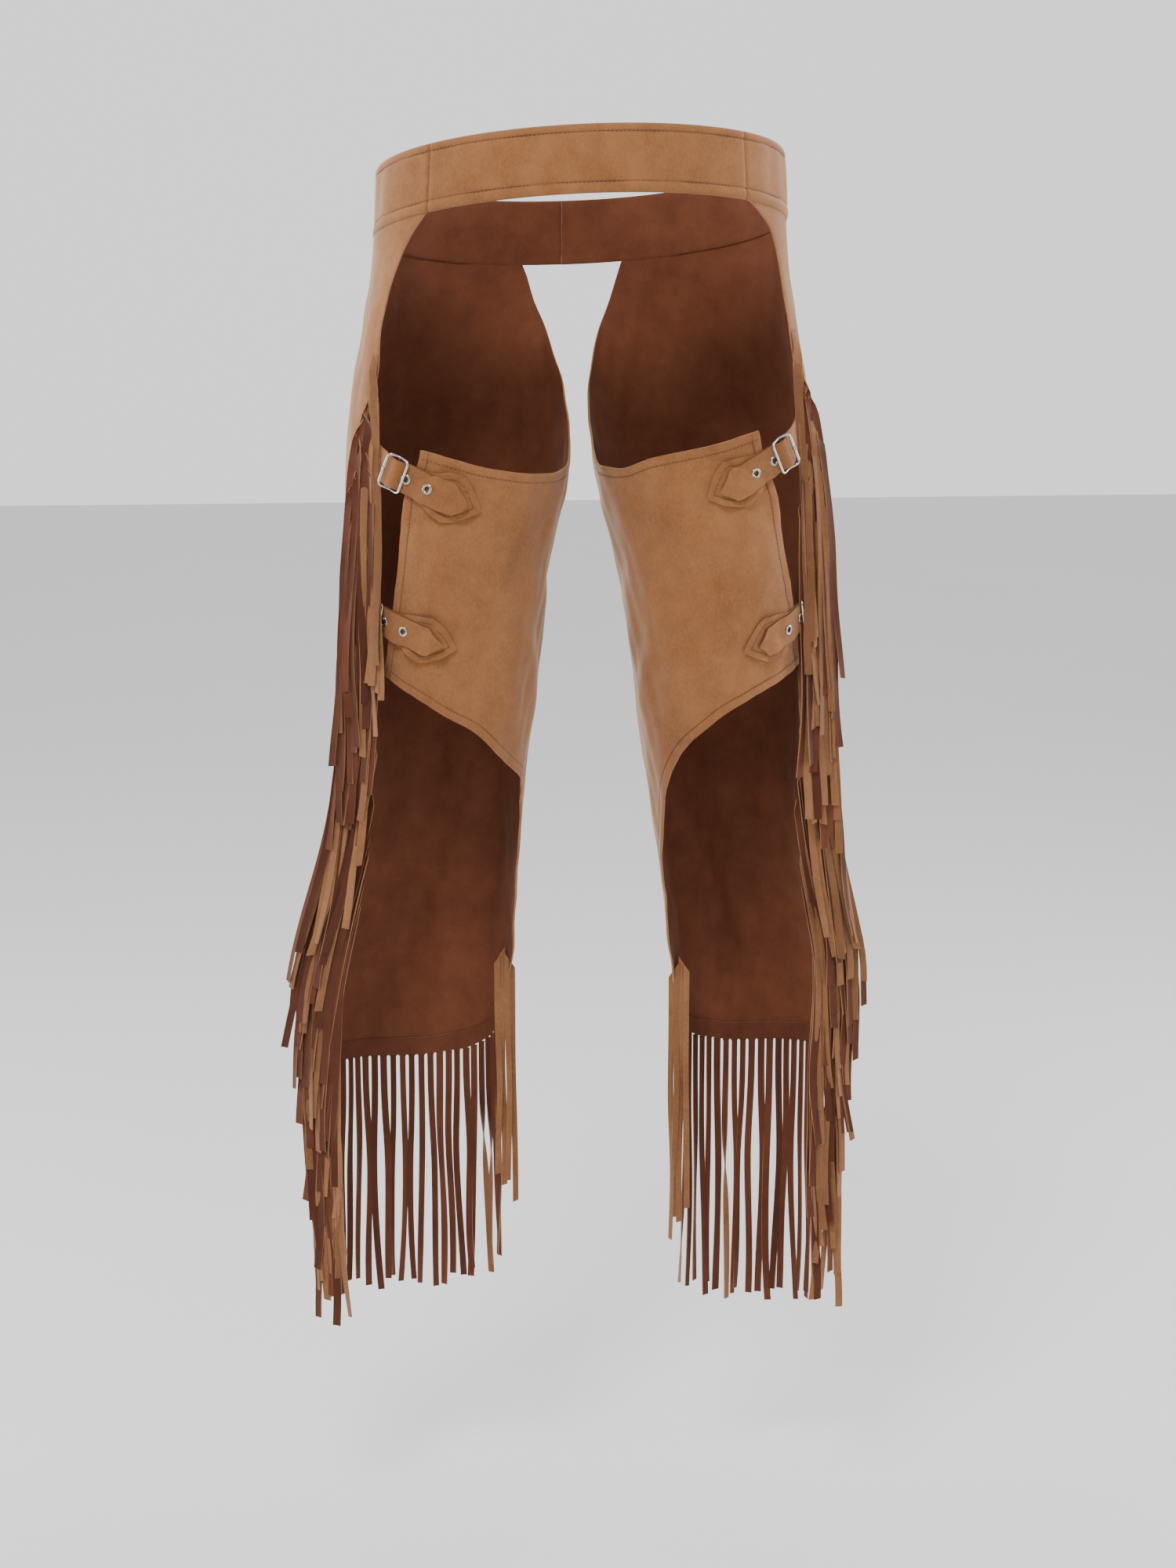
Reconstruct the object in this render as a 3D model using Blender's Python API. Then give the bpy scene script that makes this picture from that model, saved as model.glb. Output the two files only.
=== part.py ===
"""Fringed leather chaps, worn form with nothing inside.

Metres, +Z up. The origin is the middle of the waistband ring, where the wearer's
hips hold it. The wearer's left is +X and the back is +Y. A leg panel is described
by an angle round the leg (0 at the back, 90 outside, 180 front, 270 inside) and a
height, and everything sewn on a panel is placed by the same angle and height plus
a distance out of the panel's middle surface.
"""
import math

import bmesh
import bpy
import numpy as np

SIDES = {"left": 1.0, "right": -1.0}
SIDE_COLUMN = {"left": 1, "right": 2}
GAP = 0.0003
WALL = 0.0015

# Waistband: a tilted ring, high at the back
BAND_HEIGHT = 0.0508
BAND_WALL = 0.0026
BAND_HALF_WIDTH = 0.1585
BAND_HALF_DEPTH = 0.1000
BAND_FLARE = 0.055
BAND_RISE = 0.0310
BAND_TILT = 0.0058
BAND_SEAM_ANGLE = 48.5
BAND_LAP_START = 160.0
BAND_LAP_END = 175.0
BAND_LEFT_END = 187.0
BAND_RIGHT_END = 183.0

# Leg cross sections: height, inner left, inner right, outer left, outer right, back, front
LEG_SECTIONS = [
    (-0.720, 0.052, 0.079, 0.2240, 0.2150, 0.040, -0.098),
    (-0.660, 0.053, 0.078, 0.2190, 0.2110, 0.042, -0.095),
    (-0.590, 0.051, 0.073, 0.2010, 0.1990, 0.046, -0.091),
    (-0.520, 0.050, 0.064, 0.1850, 0.1860, 0.052, -0.088),
    (-0.460, 0.045, 0.055, 0.1790, 0.1810, 0.059, -0.085),
    (-0.400, 0.038, 0.046, 0.1785, 0.1810, 0.066, -0.085),
    (-0.340, 0.031, 0.038, 0.1800, 0.1825, 0.073, -0.087),
    (-0.280, 0.024, 0.028, 0.1825, 0.1840, 0.079, -0.090),
    (-0.230, 0.014, 0.016, 0.1845, 0.1845, 0.083, -0.092),
    (-0.190, 0.008, 0.008, 0.1830, 0.1820, 0.084, -0.093),
    (-0.150, 0.005, 0.005, 0.1790, 0.1780, 0.085, -0.094),
    (-0.100, 0.004, 0.004, 0.1700, 0.1695, 0.086, -0.095),
    (-0.060, 0.004, 0.004, 0.1630, 0.1630, 0.087, -0.096),
    (-0.025, 0.004, 0.004, 0.1598, 0.1598, 0.088, -0.097),
    (0.030, 0.004, 0.004, 0.1570, 0.1570, 0.088, -0.097),
]
HIP_BLEND_LOW = -0.190
HIP_BLEND_HIGH = -0.060

# Outer back edge, with the seat cut-out above: height, left angle, right angle
OUTER_EDGE = [
    (-0.720, 96.0, 92.0),
    (-0.660, 92.0, 88.0),
    (-0.620, 82.0, 79.0),
    (-0.580, 72.0, 71.0),
    (-0.530, 68.0, 70.0),
    (-0.470, 66.0, 72.0),
    (-0.410, 66.0, 76.0),
    (-0.360, 68.0, 79.0),
    (-0.320, 68.5, 79.0),
    (-0.285, 63.0, 74.0),
    (-0.240, 56.0, 67.0),
    (-0.180, 55.0, 62.0),
    (-0.130, 55.0, 62.0),
    (-0.095, 58.0, 63.0),
    (-0.070, 55.0, 61.0),
    (-0.045, 48.5, 58.0),
    (-0.025, 40.0, 52.0),
    (-0.010, 31.5, 41.0),
    (0.006, 25.0, 26.0),
]
# Line that the side strands hang along: height, left angle, right angle
FRINGE_LINE = [
    (-0.720, 96.0, 92.0),
    (-0.660, 92.0, 88.0),
    (-0.620, 82.0, 79.0),
    (-0.580, 72.0, 71.0),
    (-0.530, 64.5, 65.0),
    (-0.470, 60.0, 63.0),
    (-0.410, 56.0, 66.0),
    (-0.350, 51.5, 69.0),
    (-0.300, 47.5, 67.5),
    (-0.240, 47.0, 62.0),
    (-0.180, 50.0, 60.0),
    (-0.130, 55.0, 62.0),
    (-0.095, 58.0, 63.0),
]
# Free edge on the back of the thigh: height, left angle, right angle
FREE_EDGE = [
    (-0.370, 406.0, 418.0),
    (-0.340, 401.5, 414.0),
    (-0.300, 395.5, 404.5),
    (-0.260, 392.0, 397.5),
    (-0.220, 389.0, 393.0),
    (-0.190, 381.5, 386.5),
    (-0.170, 380.0, 383.0),
]
# Upper edge past the belt, then down the open front to the back of the thigh: angle, height
FRONT_END_ANGLE = 212.0
TOP_EDGE = {
    "left": [(222.0, -0.085), (238.0, -0.122), (254.0, -0.160), (270.0, -0.191),
             (285.0, -0.206), (302.0, -0.2090), (319.0, -0.2075), (343.0, -0.2020),
             (366.0, -0.1930), (380.0, -0.1864)],
    "right": [(222.0, -0.085), (238.0, -0.122), (254.0, -0.160), (270.0, -0.191),
              (285.0, -0.206), (302.0, -0.2060), (329.0, -0.1946), (353.0, -0.1865),
              (369.0, -0.1806), (383.0, -0.1740)],
}
# Lower edge: hem round the front, near-upright inner edge, slanting edge behind the thigh
BOTTOM_EDGE = {
    "left": [(96.0, -0.700), (130.0, -0.708), (175.0, -0.712), (210.0, -0.7045),
             (225.0, -0.694), (240.0, -0.6745), (252.0, -0.640), (258.0, -0.600),
             (264.0, -0.555), (272.0, -0.505), (282.0, -0.475), (292.0, -0.459),
             (306.0, -0.447), (324.0, -0.431), (342.0, -0.411), (364.0, -0.395),
             (384.0, -0.380), (406.0, -0.365)],
    "right": [(92.0, -0.692), (130.0, -0.700), (175.0, -0.705), (215.0, -0.697),
              (235.0, -0.680), (249.0, -0.655), (258.0, -0.615), (268.0, -0.575),
              (282.0, -0.530), (296.0, -0.490), (306.0, -0.462), (322.0, -0.433),
              (342.0, -0.411), (366.0, -0.390), (396.0, -0.3734), (418.0, -0.363)],
}
HEM_INNER_ANGLE = {"left": 250.0, "right": 248.0}
HEM_OUTER_ANGLE = {"left": 114.0, "right": 110.0}
PANEL_SHARES = np.concatenate([
    np.linspace(0.0, 0.50, 13),
    np.linspace(0.50, 0.76, 13)[1:],
    np.linspace(0.76, 1.0, 8)[1:],
])
PANEL_ROWS = 15
ROW_CROWDING = 1.35
# Largest soft folds: angle, height, angle reach, height reach, depth
FOLDS = [
    (150.0, -0.600, 13.0, 0.150, 0.0035),
    (196.0, -0.580, 14.0, 0.170, -0.0045),
    (228.0, -0.560, 12.0, 0.130, 0.0040),
    (120.0, -0.380, 16.0, 0.120, -0.0025),
    (205.0, -0.350, 18.0, 0.090, 0.0025),
    (345.0, -0.330, 14.0, 0.080, -0.0022),
    (372.0, -0.290, 11.0, 0.070, 0.0018),
]

# Side fringe
STRIP_WIDTH = 0.0066
STRIP_THICK = 0.0014
STRIP_SEAT = 0.0007
STRAND_THICK = 0.0011
SIDE_STRANDS = 60
SIDE_STRAND_WIDTH = 0.0060
SIDE_STRAND_LENGTH = 0.244
SIDE_TOP = {"left": -0.116, "right": -0.100}
SIDE_BOTTOM = {"left": -0.690, "right": -0.682}
SIDE_COLUMNS = (-0.0050, 0.0090, 0.0020, 0.0160)
FALL_DROP = 0.026
FALL_OUT = 0.0065
FALL_SLOPE = {"left": 0.048, "right": 0.070}
FALL_LEVEL = 0.058
RING_REACH = 0.003
GUIDE_LOW = -0.700
BARE_ABOVE = 0.042
BARE_BELOW = 0.018
LEAN_START = -0.680
LEAN_LENGTH = 0.200
LEAN_IN = {"left": 0.020, "right": 0.010}

# Hem fringe
HEM_STRIP_HEIGHT = 0.0070
HEM_SEAT = 0.0008
HEM_STRANDS = {"left": 27, "right": 23}
HEM_STRAND_LENGTH = {"left": 0.205, "right": 0.232}
HEM_STRAND_WIDTH = 0.0048
HEM_TAPER_DROP = 0.014

# Buckled straps
STRAP_THICK = 0.0014
STRAIGHT_REACH = 0.0062
CURVED_FROM = 0.0125
BAR_RADIUS = 0.0010
BUCKLE_HALF_LENGTH = 0.0090
BUCKLE_HALF_HEIGHT = 0.0131
BUCKLE_CORNER = 0.0028
BUCKLE_END_OUT = 0.0063
BUCKLE_MIDDLE_OUT = 0.00345
PRONG_RADIUS = 0.0018
PRONG_LENGTH = 0.0036
EYELET_RADIUS = 0.0041
EYELET_BORE = 0.0021
EYELET_BARREL = 0.0028
EYELET_FLANGE = 0.0005
EYELET_STATIONS = (0.0110, 0.0310)
EYELET_SIDES = 8
PUNCHED_RADIUS = 0.0031
PUNCH_REACH = 0.0025
PUNCH_SIDES = 8
# Middle of each buckle: angle, height, downward slope towards the tip in degrees
BUCKLES = {
    ("left", "top"): (394.5, -0.2048, 22.0),
    ("left", "low"): (409.9, -0.3184, 18.0),
    ("right", "top"): (398.5, -0.1928, 25.4),
    ("right", "low"): (419.4, -0.3212, 20.0),
}
# Tongue root, measured from the panel's outer edge: distance past it, distance out
TONGUE_ROOT = [(-0.0140, -0.0026), (0.0008, -0.0026)]
# Tongue: distance towards the tip, distance out, lower edge, upper edge
TONGUE = [
    (-0.0088, 0.00250, -0.0112, 0.0112),
    (-0.0025, 0.00660, -0.0112, 0.0112),
    (0.0000, 0.00715, -0.0112, 0.0112),
    (0.0025, 0.00660, -0.0112, 0.0112),
    (0.0064, 0.00345, -0.0112, 0.0112),
    (0.0150, 0.00345, -0.0112, 0.0112),
    (0.0240, 0.00345, -0.0112, 0.0112),
    (0.0330, 0.00345, -0.0112, 0.0112),
    (0.0420, 0.00345, -0.0112, 0.0112),
    (0.0500, 0.00345, -0.0112, 0.0112),
    (0.0565, 0.00345, -0.0096, 0.0062),
    (0.0610, 0.00345, -0.0062, 0.0020),
    (0.0632, 0.00345, -0.0035, -0.0012),
]
TONGUE_LYING = 0.00345
# Patch and its strap end, turned round the middle bar: same columns
PATCH = [
    (0.0025, 0.00145, -0.0106, 0.0106),
    (0.0000, 0.00145, -0.0106, 0.0106),
    (-0.0014, 0.00205, -0.0106, 0.0106),
    (-0.0020, 0.00345, -0.0106, 0.0106),
    (-0.0014, 0.00485, -0.0106, 0.0106),
    (0.0000, 0.00545, -0.0106, 0.0106),
    (0.0014, 0.00500, -0.0106, 0.0106),
    (0.0050, 0.00200, -0.0108, 0.0108),
    (0.0080, 0.00175, -0.0112, 0.0112),
    (0.0150, 0.00175, -0.0112, 0.0112),
    (0.0240, 0.00175, -0.0116, 0.0118),
    (0.0330, 0.00175, -0.0142, 0.0148),
    (0.0420, 0.00175, -0.0170, 0.0178),
    (0.0500, 0.00175, -0.0188, 0.0192),
    (0.0565, 0.00175, -0.0168, 0.0166),
    (0.0640, 0.00175, -0.0112, 0.0116),
    (0.0710, 0.00175, -0.0052, 0.0060),
    (0.0755, 0.00175, -0.0012, 0.0016),
]

COLOURS = {
    "suede": (0.36, 0.165, 0.070, 1.0),
    "suede_strap": (0.38, 0.175, 0.075, 1.0),
    "fringe": (0.30, 0.125, 0.050, 1.0),
    "metal": (0.75, 0.74, 0.72, 1.0),
}


def monotone_curve(rows, column):
    """Smooth curve through (first column, given column) with no overshoot."""
    rows = sorted(rows)
    xs = [row[0] for row in rows]
    ys = [row[column] for row in rows]
    slopes = [(ys[i + 1] - ys[i]) / (xs[i + 1] - xs[i]) for i in range(len(xs) - 1)]
    tangents = [slopes[0]]
    for before, after in zip(slopes, slopes[1:]):
        rising = before * after > 0
        tangents.append(2 * before * after / (before + after) if rising else 0.0)
    tangents.append(slopes[-1])

    def value(x):
        if x <= xs[0]:
            return ys[0]
        if x >= xs[-1]:
            return ys[-1]
        i = max(k for k in range(len(xs) - 1) if xs[k] <= x)
        step = xs[i + 1] - xs[i]
        u = (x - xs[i]) / step
        return (ys[i] * (1 + 2 * u) * (1 - u) ** 2
                + ys[i + 1] * u * u * (3 - 2 * u)
                + step * tangents[i] * u * (1 - u) ** 2
                - step * tangents[i + 1] * u * u * (1 - u))

    return value


SECTION_CURVES = [monotone_curve(LEG_SECTIONS, column) for column in range(1, 7)]
FRINGE_CURVES = {side: monotone_curve(FRINGE_LINE, SIDE_COLUMN[side]) for side in SIDES}
EDGE_CURVES = {side: (monotone_curve(OUTER_EDGE, SIDE_COLUMN[side]),
                      monotone_curve(FREE_EDGE, SIDE_COLUMN[side])) for side in SIDES}


def smoothstep(low, high, x):
    u = min(1.0, max(0.0, (x - low) / (high - low)))
    return u * u * (3 - 2 * u)


def unit(vector):
    return vector / np.linalg.norm(vector)


def fold_depth(angle, z):
    """How far the soft folds move the cloth out at this place."""
    depth = 0.0
    for middle, height, reach, tall, deep in FOLDS:
        across = (angle - middle) / reach
        along = (z - height) / tall
        depth += deep * math.exp(-across * across - along * along)
    return depth


def leg_point(side, angle, z):
    """Middle surface of a leg panel, running on past its edges."""
    inner_left, inner_right, outer_left, outer_right, back, front = (
        curve(z) for curve in SECTION_CURVES)
    inner = inner_left if side == "left" else inner_right
    outer = outer_left if side == "left" else outer_right
    turn = math.radians(angle)
    deep = fold_depth(angle, z)
    x = (outer + inner) / 2 + ((outer - inner) / 2 + deep) * math.sin(turn)
    leg_y = (back + front) / 2 + ((back - front) / 2 + deep) * math.cos(turn)
    share = max(-1.0, min(1.0, x / outer))
    hip_y = math.copysign(BAND_HALF_DEPTH * math.sqrt(1 - share * share), math.cos(turn))
    hip = smoothstep(HIP_BLEND_LOW, HIP_BLEND_HIGH, z)
    return np.array((SIDES[side] * x, leg_y * (1 - hip) + hip_y * hip, z))


def leg_normal(side, angle, z):
    round_leg = leg_point(side, angle + 0.5, z) - leg_point(side, angle - 0.5, z)
    upward = leg_point(side, angle, z + 0.001) - leg_point(side, angle, z - 0.001)
    return unit(-SIDES[side] * np.cross(round_leg, upward))


def on_leg(side, angle, z, out):
    return leg_point(side, angle, z) + leg_normal(side, angle, z) * out


def leg_angle(side, share, z):
    outer, free = EDGE_CURVES[side]
    return outer(z) + (free(z) - outer(z)) * share


def share_of(side, angle, z):
    outer, free = EDGE_CURVES[side]
    return (angle - outer(z)) / (free(z) - outer(z))


def band_middle(angle):
    """Height of the waistband's middle line, angle from the back towards +X."""
    turn = math.radians(angle)
    return BAND_RISE * math.cos(turn) - BAND_TILT * math.sin(turn)


def band_point(angle, up, out):
    turn = math.radians(angle)
    wide = BAND_HALF_WIDTH - BAND_FLARE * up + out
    deep = BAND_HALF_DEPTH + out
    return np.array((wide * math.sin(turn), deep * math.cos(turn), band_middle(angle) + up))


def panel_top_at_band(side, share):
    """Height just under the waistband on this line of the panel."""
    z = -BAND_HEIGHT / 2
    for _ in range(20):
        point = leg_point(side, leg_angle(side, share, z), z)
        angle = math.degrees(math.atan2(point[0] / BAND_HALF_WIDTH, point[1] / BAND_HALF_DEPTH))
        z = band_middle(angle) - BAND_HEIGHT / 2 - GAP
    return z


def panel_edges(side):
    """Upper and lower edge heights of a leg panel as curves of the share round it."""
    low = [(share_of(side, angle, z), z) for angle, z in BOTTOM_EDGE[side]]
    bottom = monotone_curve(low, 1)
    front_share = share_of(side, FRONT_END_ANGLE, -0.055)
    high = [(front_share, panel_top_at_band(side, front_share))]
    high += [(share_of(side, angle, z), z) for angle, z in TOP_EDGE[side]]
    past_band = monotone_curve(high, 1)

    def top(share):
        if share <= front_share:
            return panel_top_at_band(side, share)
        return past_band(share)

    return top, bottom


def panel_lines(side):
    """The panel's lines from top to bottom, each a list of (angle, height)."""
    top, bottom = panel_edges(side)
    lines = []
    for share in PANEL_SHARES:
        high, low = top(share), bottom(share)
        heights = [high + (low - high) * (row / PANEL_ROWS) ** ROW_CROWDING
                   for row in range(PANEL_ROWS + 1)]
        lines.append([(leg_angle(side, share, z), z) for z in heights])
    return lines


def wall_faces(columns, rows):
    """Faces of a closed wall: outer grid, inner grid and the rim between them."""
    def outer(i, j):
        return i * (rows + 1) + j

    shift = (columns + 1) * (rows + 1)
    faces = []
    for i in range(columns):
        for j in range(rows):
            a, b, c, d = outer(i, j), outer(i + 1, j), outer(i + 1, j + 1), outer(i, j + 1)
            for triangle in ((a, b, d), (b, c, d)):
                faces.append(triangle)
                faces.append(tuple(corner + shift for corner in reversed(triangle)))
    rim = [outer(i, 0) for i in range(columns)]
    rim += [outer(columns, j) for j in range(rows)]
    rim += [outer(i, rows) for i in range(columns, 0, -1)]
    rim += [outer(0, j) for j in range(rows, 0, -1)]
    for here, there in zip(rim, rim[1:] + rim[:1]):
        faces.append((there, here, here + shift, there + shift))
    return faces


def suede_material(name, colour, roughness, metallic):
    material = bpy.data.materials.new(name)
    material.use_nodes = True
    shader = material.node_tree.nodes["Principled BSDF"]
    shader.inputs["Base Color"].default_value = colour
    shader.inputs["Roughness"].default_value = roughness
    shader.inputs["Metallic"].default_value = metallic
    return material


def add_piece(name, points, faces, finish):
    """One named object from points and faces, turned to face outwards."""
    mesh = bpy.data.meshes.new(name)
    mesh.from_pydata([tuple(point) for point in points], [], faces)
    body = bmesh.new()
    body.from_mesh(mesh)
    bmesh.ops.recalc_face_normals(body, faces=body.faces)
    body.to_mesh(mesh)
    body.free()
    mesh.shade_smooth()
    mesh.set_sharp_from_angle(angle=math.radians(40))
    metal = finish == "metal"
    mesh.materials.append(suede_material(name, COLOURS[finish], 0.3 if metal else 0.9, float(metal)))
    piece = bpy.data.objects.new(name, mesh)
    bpy.context.collection.objects.link(piece)
    return piece


def add_helper(name, points, faces):
    """A guide for a Boolean, hidden from the build."""
    helper = add_piece(name, points, faces, "metal")
    helper.hide_render = True
    helper.display_type = "WIRE"
    return helper


def apply_boolean(piece, helper, operation):
    modifier = piece.modifiers.new(helper.name, "BOOLEAN")
    modifier.operation = operation
    modifier.solver = "EXACT"
    modifier.object = helper


def add_leg(side):
    lines = panel_lines(side)
    points = []
    for out in (WALL / 2, -WALL / 2):
        for line in lines:
            points += [on_leg(side, angle, z, out) for angle, z in line]
    add_piece("leg_" + side, points, wall_faces(len(lines) - 1, PANEL_ROWS), "suede")
    return lines


def add_band(name, start, end, columns, lap_out):
    """One waistband panel between two angles; lap_out lifts the end that laps over."""
    seam = math.degrees(GAP / 2 / BAND_HALF_WIDTH)
    rows = 3
    points = []
    for out in (BAND_WALL / 2, -BAND_WALL / 2):
        for i in range(columns + 1):
            angle = start + seam + (end - start - 2 * seam) * i / columns
            lift = lap_out * smoothstep(BAND_LAP_START, BAND_LAP_END, angle)
            for j in range(rows + 1):
                up = BAND_HEIGHT * (0.5 - j / rows)
                points.append(band_point(angle, up, out + lift))
    add_piece(name, points, wall_faces(columns, rows), "suede")


def strip_level(lines, side, z):
    """Place and directions of the side strip at z, on the flat facet at the panel's edge."""
    edge_line, next_line = lines[0], lines[1]
    i = 0
    while i < len(edge_line) - 2 and edge_line[i + 1][1] > z:
        i += 1
    upper, lower, beside = (on_leg(side, angle, height, WALL / 2 + STRIP_SEAT)
                            for angle, height in (edge_line[i], edge_line[i + 1], next_line[i]))
    down, along = lower - upper, beside - upper
    across = unit(along - down * (along[2] / down[2]))
    outward = np.array((across[1], -across[0], 0.0)) * -SIDES[side]
    place = upper + down * ((z - upper[2]) / down[2]) + across * (STRIP_WIDTH / 2)
    return place, across, outward


def fringe_level(side, z):
    """Place and directions, at one of the set levels, of the line the strands hang along."""
    held = max(z, GUIDE_LOW)
    angle = FRINGE_CURVES[side](held)
    across = leg_point(side, angle + 0.5, held) - leg_point(side, angle - 0.5, held)
    across[2] = 0.0
    across = unit(across)
    outward = np.array((across[1], -across[0], 0.0)) * -SIDES[side]
    place = leg_point(side, angle, held) + outward * (WALL / 2 + GAP)
    place[0] -= SIDES[side] * LEAN_IN[side] * smoothstep(0.0, LEAN_LENGTH, LEAN_START - z)
    place[2] = z
    return place, across, outward


def fringe_guide(side, z):
    """The same between two levels, so that strands side by side bend at one height."""
    below = math.floor(z / FALL_LEVEL) * FALL_LEVEL
    share = (z - below) / FALL_LEVEL
    low = fringe_level(side, below)
    high = fringe_level(side, below + FALL_LEVEL)
    return tuple(a + (b - a) * share for a, b in zip(low, high))


def strand_drops(root, length):
    """Distances below the root at which a side strand has a ring."""
    drops = [FALL_DROP]
    level = math.floor((root - FALL_DROP - RING_REACH) / FALL_LEVEL) * FALL_LEVEL
    while root - level < length - RING_REACH:
        drops.append(root - level)
        level -= FALL_LEVEL
    return drops + [length]


def strand_faces(rings):
    """Side walls through rings of four points, and the cut end."""
    faces = []
    for upper, lower in zip(rings, rings[1:]):
        for k in range(4):
            faces.append((upper[k], upper[(k + 1) % 4], lower[(k + 1) % 4], lower[k]))
    faces.append(tuple(rings[-1]))
    return faces


def fall_out(side, drop):
    """How far a hanging strand stands off the strip."""
    if drop < FALL_DROP:
        return FALL_OUT * drop / FALL_DROP
    return FALL_OUT + FALL_SLOPE[side] * (drop - FALL_DROP)


def under_buckle(side, root):
    """True where a strand would start behind the low buckle, so none is cut there."""
    middle = BUCKLES[(side, "low")][1]
    return middle - BARE_BELOW < root < middle + BARE_ABOVE


def strip_side_faces(levels):
    """Back, edges and both ends of a strip whose face carries the strands."""
    faces = []
    for upper, lower in zip(levels, levels[1:]):
        for k in (1, 2, 3):
            faces.append((upper[k], lower[k], lower[(k + 1) % 4], upper[(k + 1) % 4]))
    faces.append(tuple(levels[0]))
    faces.append(tuple(reversed(levels[-1])))
    return faces


def add_side_fringe(lines, side):
    """Strip on the outer back edge, with strands that fall clear of one another."""
    high, low = SIDE_TOP[side], SIDE_BOTTOM[side]
    pitch = (high - low) / SIDE_STRANDS
    points, levels, faces = [], [], []

    def add_ring(frame, places):
        place, across, outward = frame
        start = len(points)
        for along, out in places:
            points.append(place + across * along + outward * out)
        return [start + k for k in range(len(places))]

    half = STRIP_WIDTH / 2
    for k in range(SIDE_STRANDS + 1):
        corners = [(-half, STRIP_THICK), (half, STRIP_THICK), (half, 0.0), (-half, 0.0)]
        levels.append(add_ring(strip_level(lines, side, high - pitch * k), corners))
    faces += strip_side_faces(levels)
    for k in range(SIDE_STRANDS):
        upper, lower = levels[k], levels[k + 1]
        root = high - pitch * (k + 0.5)
        rings = [[upper[0], upper[1], lower[1], lower[0]]]
        if under_buckle(side, root):
            faces.append(tuple(rings[0]))
            continue
        length = SIDE_STRAND_LENGTH * (1 + 0.035 * math.sin(2.4 * k))
        along = SIDE_COLUMNS[k % len(SIDE_COLUMNS)]
        wide = SIDE_STRAND_WIDTH / 2
        for drop in strand_drops(root, length):
            out = STRIP_THICK + fall_out(side, drop)
            front, back = out + STRAND_THICK / 2, out - STRAND_THICK / 2
            corners = [(along - wide, front), (along + wide, front),
                       (along + wide, back), (along - wide, back)]
            rings.append(add_ring(fringe_guide(side, root - drop), corners))
        faces += strand_faces(rings)
    add_piece("fringe_side_" + side, points, faces, "fringe")


def hem_polyline(lines, side):
    """Lower edge of the panel from the outer start to the inner end of the hem fringe."""
    first = HEM_OUTER_ANGLE[side]
    last = HEM_INNER_ANGLE[side]
    ends = [line[-1] for line in lines]
    chosen = [i for i, (angle, _) in enumerate(ends) if first - 12 < angle < last + 6]
    rows = []
    for i in chosen:
        angle, z = ends[i]
        low = [on_leg(side, angle, z, out) for out in (WALL / 2, -WALL / 2)]
        rows.append((angle, low[0], low[1]))
    return rows, first, last


def add_hem_fringe(lines, side):
    """Strip under the hem with strands that hang straight down."""
    rows, first, last = hem_polyline(lines, side)
    lengths = [0.0]
    for (_, a, _), (_, b, _) in zip(rows, rows[1:]):
        lengths.append(lengths[-1] + np.linalg.norm(b - a))
    angles = [row[0] for row in rows]
    start = np.interp(first, angles, lengths)
    end = np.interp(last, angles, lengths)
    points, levels, faces = [], [], []

    def add_point(point):
        points.append(point)
        return len(points) - 1

    down = np.array((0.0, 0.0, -1.0))
    count = HEM_STRANDS[side]
    pitch = (end - start) / count
    frames = []
    for k in range(count + 1):
        reach = start + pitch * k
        outer = np.array([np.interp(reach, lengths, [row[1][axis] for row in rows])
                          for axis in range(3)])
        inner = np.array([np.interp(reach, lengths, [row[2][axis] for row in rows])
                          for axis in range(3)])
        ahead = np.array([np.interp(reach + pitch, lengths, [row[1][axis] for row in rows])
                          for axis in range(3)])
        level = math.hypot(*(ahead - outer)[:2])
        slack = HEM_SEAT * np.linalg.norm(ahead - outer) / level
        outer, inner = outer + down * slack, inner + down * slack
        outer_low = outer + down * HEM_STRIP_HEIGHT
        inner_low = np.array((inner[0], inner[1], outer_low[2]))
        levels.append([add_point(p) for p in (outer_low, inner_low, inner, outer)])
        frames.append((outer_low, inner_low))
    faces += strip_side_faces(levels)
    for k in range(count):
        near, far = levels[k], levels[k + 1]
        rings = [[near[0], far[0], far[1], near[1]]]
        outer = (frames[k][0] + frames[k + 1][0]) / 2
        inner = (frames[k][1] + frames[k + 1][1]) / 2
        across = unit(frames[k + 1][0] - frames[k][0]) * (HEM_STRAND_WIDTH / 2)
        across[2] = 0.0
        length = HEM_STRAND_LENGTH[side] * (1 + 0.05 * math.sin(1.9 * k + 0.7))
        middle = (outer + inner) / 2
        depth = unit(outer - inner) * (STRAND_THICK / 2)
        for drop in (HEM_TAPER_DROP, length):
            fall = down * drop
            corners = [middle + depth - across + fall, middle + depth + across + fall,
                       middle - depth + across + fall, middle - depth - across + fall]
            rings.append([add_point(corner) for corner in corners])
        faces += strand_faces(rings)
    add_piece("fringe_hem_" + side, points, faces, "fringe")


def strap_place(side, level, along, across):
    """Angle and height of a place on a strap, measured from the buckle's middle."""
    angle, z, slope = BUCKLES[(side, level)]
    tilt = math.radians(slope)
    middle = leg_point(side, angle, z)
    ahead = leg_point(side, angle + 1.0, z)
    per_degree = np.linalg.norm(ahead - middle)
    around = -along * math.cos(tilt) - across * math.sin(tilt)
    up = -along * math.sin(tilt) + across * math.cos(tilt)
    return angle + around / per_degree, z + up


def on_curve(side, level, along, across, out):
    """Place on a strap that follows the thigh all along."""
    angle, z = strap_place(side, level, along, across)
    return on_leg(side, angle, z, out)


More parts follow.
